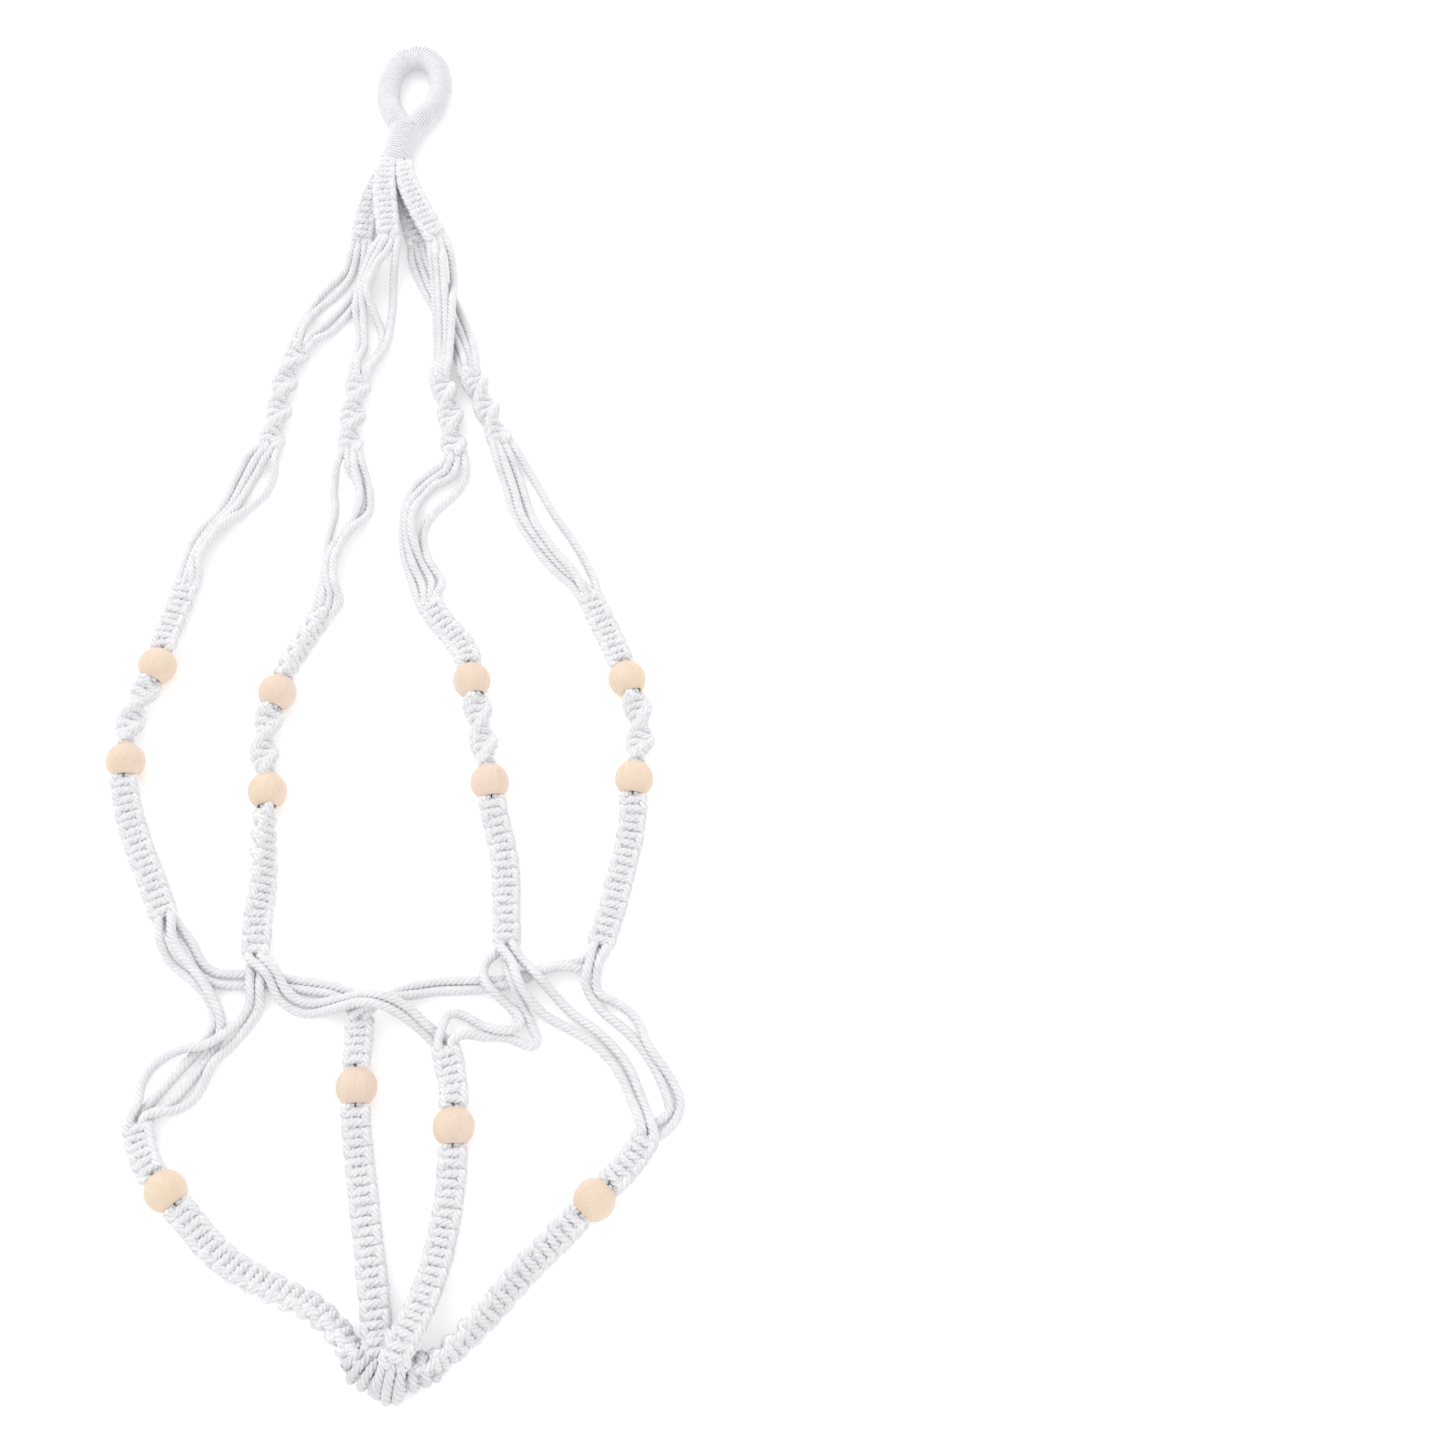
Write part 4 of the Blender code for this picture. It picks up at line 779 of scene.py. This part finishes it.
def make_sinnet(name, spec, axes):
    """A knotted sinnet from its real cords, with their run into the beads at its ends."""
    run_on = dict(spec, points=spec["points"] + KNOT_RUNS.get(name, []))
    guide = sinnet_guide(run_on, axes)
    length = guide["along"][-1]
    from_bead = "start_bead" in spec
    into_bead = "end_bead" in spec
    start = BEAD_INSET if from_bead else FREE_INSET
    end = length - (BEAD_INSET if into_bead else FREE_INSET)
    working = spiral_knots if spec.get("spiral") else square_knots
    paths = working(guide, start, end, from_bead, into_bead)
    parts = [rope(path, STRAND_RADIUS) for path in paths]
    rise = 0.0 if spec.get("spiral") else CORE_RISE
    core_start = CORE_INSET if from_bead else start - CORE_BEYOND
    core_end = length - CORE_INSET if into_bead else end + CORE_BEYOND
    core = core_cords(guide, core_start, core_end, rise)
    parts += [rope(path, CORE_RADIUS, sides=8) for path in core]
    for key, way in (("start_bead", 1.0), ("end_bead", -1.0)):
        if key in spec:
            stubs = bead_stubs(spec[key], axes[spec[key]], way)
            parts += [rope(path, STUB_STRAND_RADIUS, sides=12) for path in stubs]
    made = make_piece(name + "_knots", parts, "lay", LOOKS["cord"])
    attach(made, body_of_piece(name))
    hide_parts(name)


def body_of_piece(name):
    """The moving body that a piece belongs to."""
    if name.startswith(("loop", "neck", "crown")):
        return "crown"
    if name.startswith("upper"):
        return "upper"
    if name.startswith("basket") or name == "base_knot":
        return "basket"
    return "arms"


def make_loose_cords(laid):
    """Every loose cord as its own rope."""
    numbers = {}
    for cord in laid:
        group = cord["group"]
        numbers[group] = numbers.get(group, 0) + 1
        path = cord["path"]
        path = resampled(np.vstack([cord["before"], path, cord["after"]]), ROPE_STEP)
        for _ in range(ROUNDING):
            path[1:-1] = (path[:-2] + 2 * path[1:-1] + path[2:]) / 4
        name = f"{group}_{'abcd'[numbers[group] - 1]}"
        made = make_piece(name, [rope(path, ROPE_RADIUS)], "lay", LOOKS["cord"])
        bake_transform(made)
        if numbers[group] == 1:
            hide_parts(group)
        cord["piece"] = made
        cord["line"] = placed(resampled(path, CORD_LINE_STEP))
        cord["run"] = distances(cord["line"])[-1]


def coil(path, radius, pitch, samples, turn=0.0, narrowing=0.0):
    """Path of a cord wound side by side round a centreline."""
    side, up = carried_frames(path)
    along = distances(path)
    turns = along[-1] / pitch
    t = np.linspace(0, turns, int(turns * samples) + 1)
    centre, side, up = (read_at(t * pitch, along, field) for field in (path, side, up))
    angle = (2 * math.pi * t + turn)[:, None]
    reach = radius * (1 - narrowing * t / turns) + uneven(int(turns) + 1, WRAP_UNEVEN, t)
    return centre + (side * np.cos(angle) + up * np.sin(angle)) * reach[:, None]


def side_by_side(path, spots, radius):
    """Ropes that run together along a path, each at its offset to the side and above."""
    side, up = carried_frames(path)
    return [rope(path + side * u + up * v, radius) for u, v in spots]


def fine_cord(path):
    """A thin tightly laid cord along a path."""
    return rope(
        path, WRAP_RADIUS, twist=WRAP_TWIST, plies=WRAP_PLIES, sides=WRAP_SIDES, centre=WRAP_PLY_CENTRE
    )


def make_loop():
    """The hanging loop and the neck: cords inside, and a fine cord wound round them."""
    loop = spline(LOOP_ROUTE, CORE_STEP)
    neck = spline(NECK_ROUTE, CORE_STEP)
    angles = np.arange(6) * math.pi / 3
    neck_spots = [(NECK_CORD_RING * math.cos(a), NECK_CORD_RING * math.sin(a)) for a in angles]
    parts = side_by_side(loop, LOOP_SPOTS, LOOP_CORD_RADIUS)
    parts += side_by_side(neck, neck_spots + [(0.0, 0.0)], NECK_CORD_RADIUS)
    core = make_piece("loop_core_cords", parts, "lay", LOOKS["cord"])
    wound = coil(spline(LOOP_ROUTE, GUIDE_STEP), LOOP_COIL_RADIUS, WRAP_PITCH, LOOP_COIL_SAMPLES)
    under = rope(loop, LOOP_SLEEVE_RADIUS, sides=24, centre=0.0)
    loop_wrap = make_piece(
        "loop_winding", [fine_cord(wound), under], "lay", LOOKS["wrap"]
    )
    route = spline(NECK_WRAP_ROUTE, GUIDE_STEP)
    wound = coil(route, NECK_COIL_RADIUS, WRAP_PITCH, NECK_COIL_SAMPLES, narrowing=NECK_NARROWING)
    neck_wrap = make_piece("neck_winding", [fine_cord(wound)], "lay", LOOKS["wrap"])
    for made, node in ((core, "loop_core"), (loop_wrap, "loop_wrap"), (neck_wrap, "neck_wrap")):
        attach(made, "crown")
        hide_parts(node)


def make_knot():
    """The gathered base knot: turns of cord round a band, cords over its front and behind it."""
    band = spline(KNOT_BAND, GUIDE_STEP)
    parts = side_by_side(band, KNOT_BAND_SPOTS, KNOT_BAND_CORD_RADIUS)
    wound = coil(band, KNOT_COIL_RADIUS, KNOT_COIL_PITCH, KNOT_COIL_SAMPLES, turn=KNOT_COIL_START)
    parts.append(rope(wound, ROPE_RADIUS, centre=KNOT_COIL_PLY_CENTRE))
    parts += side_by_side(spline(KNOT_FRONT, GUIDE_STEP), KNOT_FRONT_SPOTS, ROPE_RADIUS)
    parts += side_by_side(spline(KNOT_BACK, GUIDE_STEP), KNOT_BACK_SPOTS, ROPE_RADIUS)
    # The knot's darker cotton is painted shade.
    made = make_piece("base_knot_cords", parts, "lay", LOOKS["knot"])
    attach(made, "basket")
    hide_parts("base_knot")


def bead_profile():
    """Height along the hole and distance from it, once round the bead's wall."""
    edge = math.asin(BEAD_FLAT_RADIUS / BEAD_RADIUS)
    outside = [
        (BEAD_RADIUS * math.cos(a), BEAD_RADIUS * math.sin(a))
        for a in np.linspace(edge, math.pi - edge, BEAD_RINGS)
    ]
    face = outside[0][0]
    lip = [
        (face, BEAD_FLAT_RADIUS - LIP_START),
        (face - LIP_WIDTH, BEAD_HOLE_RADIUS + LIP_WIDTH),
        (face - LIP_DEPTH, BEAD_HOLE_RADIUS),
    ]
    wall = [(h, BEAD_HOLE_RADIUS) for h in np.linspace(face - HOLE_INSET, HOLE_INSET - face, HOLE_RINGS)]
    far_lip = [(-h, r) for h, r in lip[::-1]]
    return outside + far_lip + wall[::-1] + lip[::-1]


def make_bead(bead, axis):
    """A drilled round bead of pale wood, with its grain along the hole."""
    across = unit(np.cross(axis, (0.0, 0.0, 1.0)))
    profile = bead_profile()
    angles = 2 * math.pi * np.arange(BEAD_SEGMENTS) / BEAD_SEGMENTS
    local = np.array([[(r * math.cos(a), h, r * math.sin(a)) for a in angles] for h, r in profile])
    local = local.reshape(-1, 3)
    turned = np.outer(local[:, 0], across) + np.outer(local[:, 1], axis)
    turned[:, 2] += local[:, 2]
    faces = []
    for r in range(len(profile)):
        for k in range(BEAD_SEGMENTS):
            a = r * BEAD_SEGMENTS + k
            b = r * BEAD_SEGMENTS + (k + 1) % BEAD_SEGMENTS
            c = ((r + 1) % len(profile)) * BEAD_SEGMENTS
            faces.append((a, b, c + (k + 1) % BEAD_SEGMENTS, c + k))
    grain = local + dice.uniform(-GRAIN_SPREAD, GRAIN_SPREAD, 3)
    made = make_piece(bead + "_wood", [(turned + bead_centre(bead), faces, grain)], "grain",
                      LOOKS["wood"])
    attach(made, bead + "_body")
    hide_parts(bead)


def new_look(name):
    """A material with its node tree and its shader."""
    look = bpy.data.materials.new(name)
    look.use_nodes = True
    return look, look.node_tree, look.node_tree.nodes["Principled BSDF"]


def add_node(tree, kind, inputs, **settings):
    """A node with its settings, and its inputs set to a value or linked to an output."""
    node = tree.nodes.new(kind)
    for key, value in settings.items():
        setattr(node, key, value)
    for key, value in inputs.items():
        if isinstance(value, bpy.types.NodeSocket):
            tree.links.new(value, node.inputs[key])
        else:
            node.inputs[key].default_value = value
    return node


def streaks(tree, attribute, scale, detail):
    """Noise in a piece's own coordinates, stretched by a scale for each direction."""
    where = add_node(tree, "ShaderNodeAttribute", {}, attribute_name=attribute)
    stretched = add_node(
        tree, "ShaderNodeVectorMath", {0: where.outputs["Vector"], 1: scale}, operation="MULTIPLY"
    )
    noise = add_node(
        tree, "ShaderNodeTexNoise",
        {"Vector": stretched.outputs[0], "Scale": 1.0, "Detail": detail, "Roughness": 0.6},
    )
    return noise.outputs[0]


def blended(tree, factor, low, high, stops=(0.3, 0.7)):
    """A colour between two others, as a factor goes from one stop to the other."""
    ramp = add_node(tree, "ShaderNodeValToRGB", {"Fac": factor})
    ramp.color_ramp.elements[0].position = stops[0]
    ramp.color_ramp.elements[0].color = (*low, 1.0)
    ramp.color_ramp.elements[1].position = stops[1]
    ramp.color_ramp.elements[1].color = (*high, 1.0)
    return ramp.outputs["Color"]


def multiplied(tree, product, *others):
    """The product of several colours."""
    for other in others:
        mix = add_node(
            tree, "ShaderNodeMix", {0: 1.0, 6: product, 7: other}, data_type="RGBA", blend_type="MULTIPLY"
        )
        product = mix.outputs[2]
    return product


def worked_out(tree, operation, *values):
    """The result of one sum with numbers from the node tree."""
    return add_node(tree, "ShaderNodeMath", dict(enumerate(values)), operation=operation).outputs[0]


def raised(tree, shader, height, strength, distance):
    """Give a shader a fine relief."""
    bump = add_node(
        tree, "ShaderNodeBump", {"Height": height, "Strength": strength, "Distance": distance}
    )
    tree.links.new(bump.outputs["Normal"], shader.inputs["Normal"])


def painted_groove_shade(tree, groove_shade_tone):
    """Painted shade: a tone that is darker in the grooves between the four plies of a cord."""
    where = add_node(tree, "ShaderNodeAttribute", {}, attribute_name="lay")
    part = add_node(tree, "ShaderNodeSeparateXYZ", {0: where.outputs["Vector"]})
    x_square = worked_out(tree, "MULTIPLY", part.outputs["X"], part.outputs["X"])
    y_square = worked_out(tree, "MULTIPLY", part.outputs["Y"], part.outputs["Y"])
    total = worked_out(tree, "ADD", x_square, y_square)
    apart = worked_out(tree, "SUBTRACT", x_square, y_square)
    size = worked_out(tree, "ABSOLUTE", worked_out(tree, "DIVIDE", apart, total))
    return blended(tree, size, (groove_shade_tone,) * 3, (1.0, 1.0, 1.0), (0.03, 0.42))


def cotton_look(name, dull, bright, relief, groove):
    """Twisted cotton: fine yarn lines along each ply, painted shade in the grooves between the plies, and
    slightly duller patches.
    """
    look, tree, shader = new_look(name)
    yarn = streaks(tree, "lay", (2.6, 2.6, 0.55), 3.0)
    patch = streaks(tree, "lay", (0.25, 0.25, 0.09), 2.0)
    tone = blended(tree, yarn, dull, bright, (0.28, 0.62))
    shade = blended(tree, patch, (0.95, 0.95, 0.955), (1.0, 1.0, 1.0), (0.35, 0.6))
    # The grooves between the plies are darkened with painted shade.
    colour = multiplied(tree, tone, shade, painted_groove_shade(tree, groove))
    tree.links.new(colour, shader.inputs["Base Color"])
    raised(tree, shader, yarn, relief, 0.0003)
    shader.inputs["Roughness"].default_value = 0.9
    shader.inputs["Sheen Weight"].default_value = 0.1
    shader.inputs["Sheen Roughness"].default_value = 0.5
    return look


def wood_look():
    """Pale unfinished wood: soft growth bands, fine fibres and a few thin brown lines."""
    look, tree, shader = new_look("pale_wood")
    bands = streaks(tree, "grain", (0.11, 0.02, 0.16), 2.0)
    fibres = streaks(tree, "grain", (1.6, 0.12, 1.6), 4.0)
    lines = streaks(tree, "grain", (1.1, 0.05, 1.1), 1.0)
    hue = streaks(tree, "grain", (0.025, 0.025, 0.025), 0.0)
    tone = blended(tree, bands, (0.765, 0.615, 0.49), (0.80, 0.665, 0.545), (0.35, 0.65))
    fine = blended(tree, fibres, (0.93, 0.91, 0.88), (1.0, 1.0, 1.0), (0.3, 0.6))
    tint = blended(tree, hue, (1.0, 0.985, 0.94), (1.0, 0.975, 1.0), (0.4, 0.6))
    mark = blended(tree, lines, (1.0, 1.0, 1.0), (0.88, 0.80, 0.74), (0.72, 0.80))
    tree.links.new(multiplied(tree, tone, fine, tint, mark), shader.inputs["Base Color"])
    raised(tree, shader, fibres, 0.12, 0.0002)
    shader.inputs["Roughness"].default_value = 0.5
    return look


def floor_look():
    """Plain white paper with a barely seen tooth."""
    look, tree, shader = new_look("white_floor")
    where = add_node(tree, "ShaderNodeTexCoord", {})
    tooth = add_node(
        tree, "ShaderNodeTexNoise", {"Vector": where.outputs["Object"], "Scale": 900.0, "Detail": 2.0}
    )
    tone = blended(tree, tooth.outputs[0], (0.925, 0.925, 0.928), (0.94, 0.94, 0.942))
    tree.links.new(tone, shader.inputs["Base Color"])
    shader.inputs["Roughness"].default_value = 0.95
    shader.inputs["Specular IOR Level"].default_value = 0.1
    shader.inputs["Emission Strength"].default_value = 0.2
    return look


def make_camera():
    """The camera, at the photograph's viewing angle."""
    data = bpy.data.cameras.new("camera")
    data.lens = CAMERA_LENS
    data.sensor_width = SENSOR_WIDTH
    data.clip_start = NEAREST_SEEN
    camera = bpy.data.objects.new("camera", data)
    camera.location = CAMERA_PLACE
    camera.rotation_euler = (CAMERA_TILT, 0.0, 0.0)
    bpy.context.scene.collection.objects.link(camera)
    bpy.context.scene.camera = camera


def make_floor():
    """The white surface that the planter lies on."""
    mesh = bpy.data.meshes.new("floor")
    corners = [(x * FLOOR_REACH, y * FLOOR_REACH, 0) for x, y in ((-1, -1), (1, -1), (1, 1), (-1, 1))]
    mesh.from_pydata(corners, [], [(0, 1, 2, 3)])
    mesh.materials.append(floor_look())
    floor = bpy.data.objects.new("floor", mesh)
    floor.location = (0.0, 0.0, -FLOOR_DROP)
    bpy.context.scene.collection.objects.link(floor)


def make_lights():
    """Soft studio light: a bright even surround and one large lamp from the upper left."""
    world = bpy.data.worlds.new("studio")
    bpy.context.scene.world = world
    world.use_nodes = True
    surround = world.node_tree.nodes["Background"]
    surround.inputs["Color"].default_value = (1.0, 1.0, 1.0, 1.0)
    surround.inputs["Strength"].default_value = SURROUND_STRENGTH
    data = bpy.data.lights.new("key", "AREA")
    data.shape = "DISK"
    data.size = KEY_SIZE
    data.energy = KEY_ENERGY
    key = bpy.data.objects.new("key", data)
    key.location = KEY_PLACE
    aim = -np.array(KEY_PLACE)
    key.rotation_euler = (math.acos(-unit(aim)[2]), 0.0, math.atan2(-aim[0], aim[1]))
    bpy.context.scene.collection.objects.link(key)


dice = np.random.default_rng(7)
LOOKS = {
    # The last number of each cotton is the tone of the painted shade in the grooves between its plies.
    "cord": cotton_look("cotton_cord", (0.865, 0.865, 0.89), (0.905, 0.905, 0.93), 0.35, 0.78),
    # The base knot's cotton is a darker copy of the cord cotton: painted shade over the whole knot.
    "knot": cotton_look("shaded_knot_cotton", (0.80, 0.80, 0.825), (0.84, 0.84, 0.865), 0.35, 0.72),
    "wrap": cotton_look("wrap_cotton", (0.85, 0.85, 0.88), (0.88, 0.88, 0.91), 0.25, 0.95),
    "wood": wood_look(),
}
bpy.context.scene.view_settings.view_transform = "Standard"
hole_axes = bead_axes()
make_camera()
make_loose_cords(lay_cords(hole_axes))
for sinnet_name, sinnet_spec in SINNETS.items():
    make_sinnet(sinnet_name, sinnet_spec, hole_axes)
make_loop()
make_knot()
for bead_name, hole_axis in hole_axes.items():
    make_bead(bead_name, hole_axis)
make_floor()
make_lights()
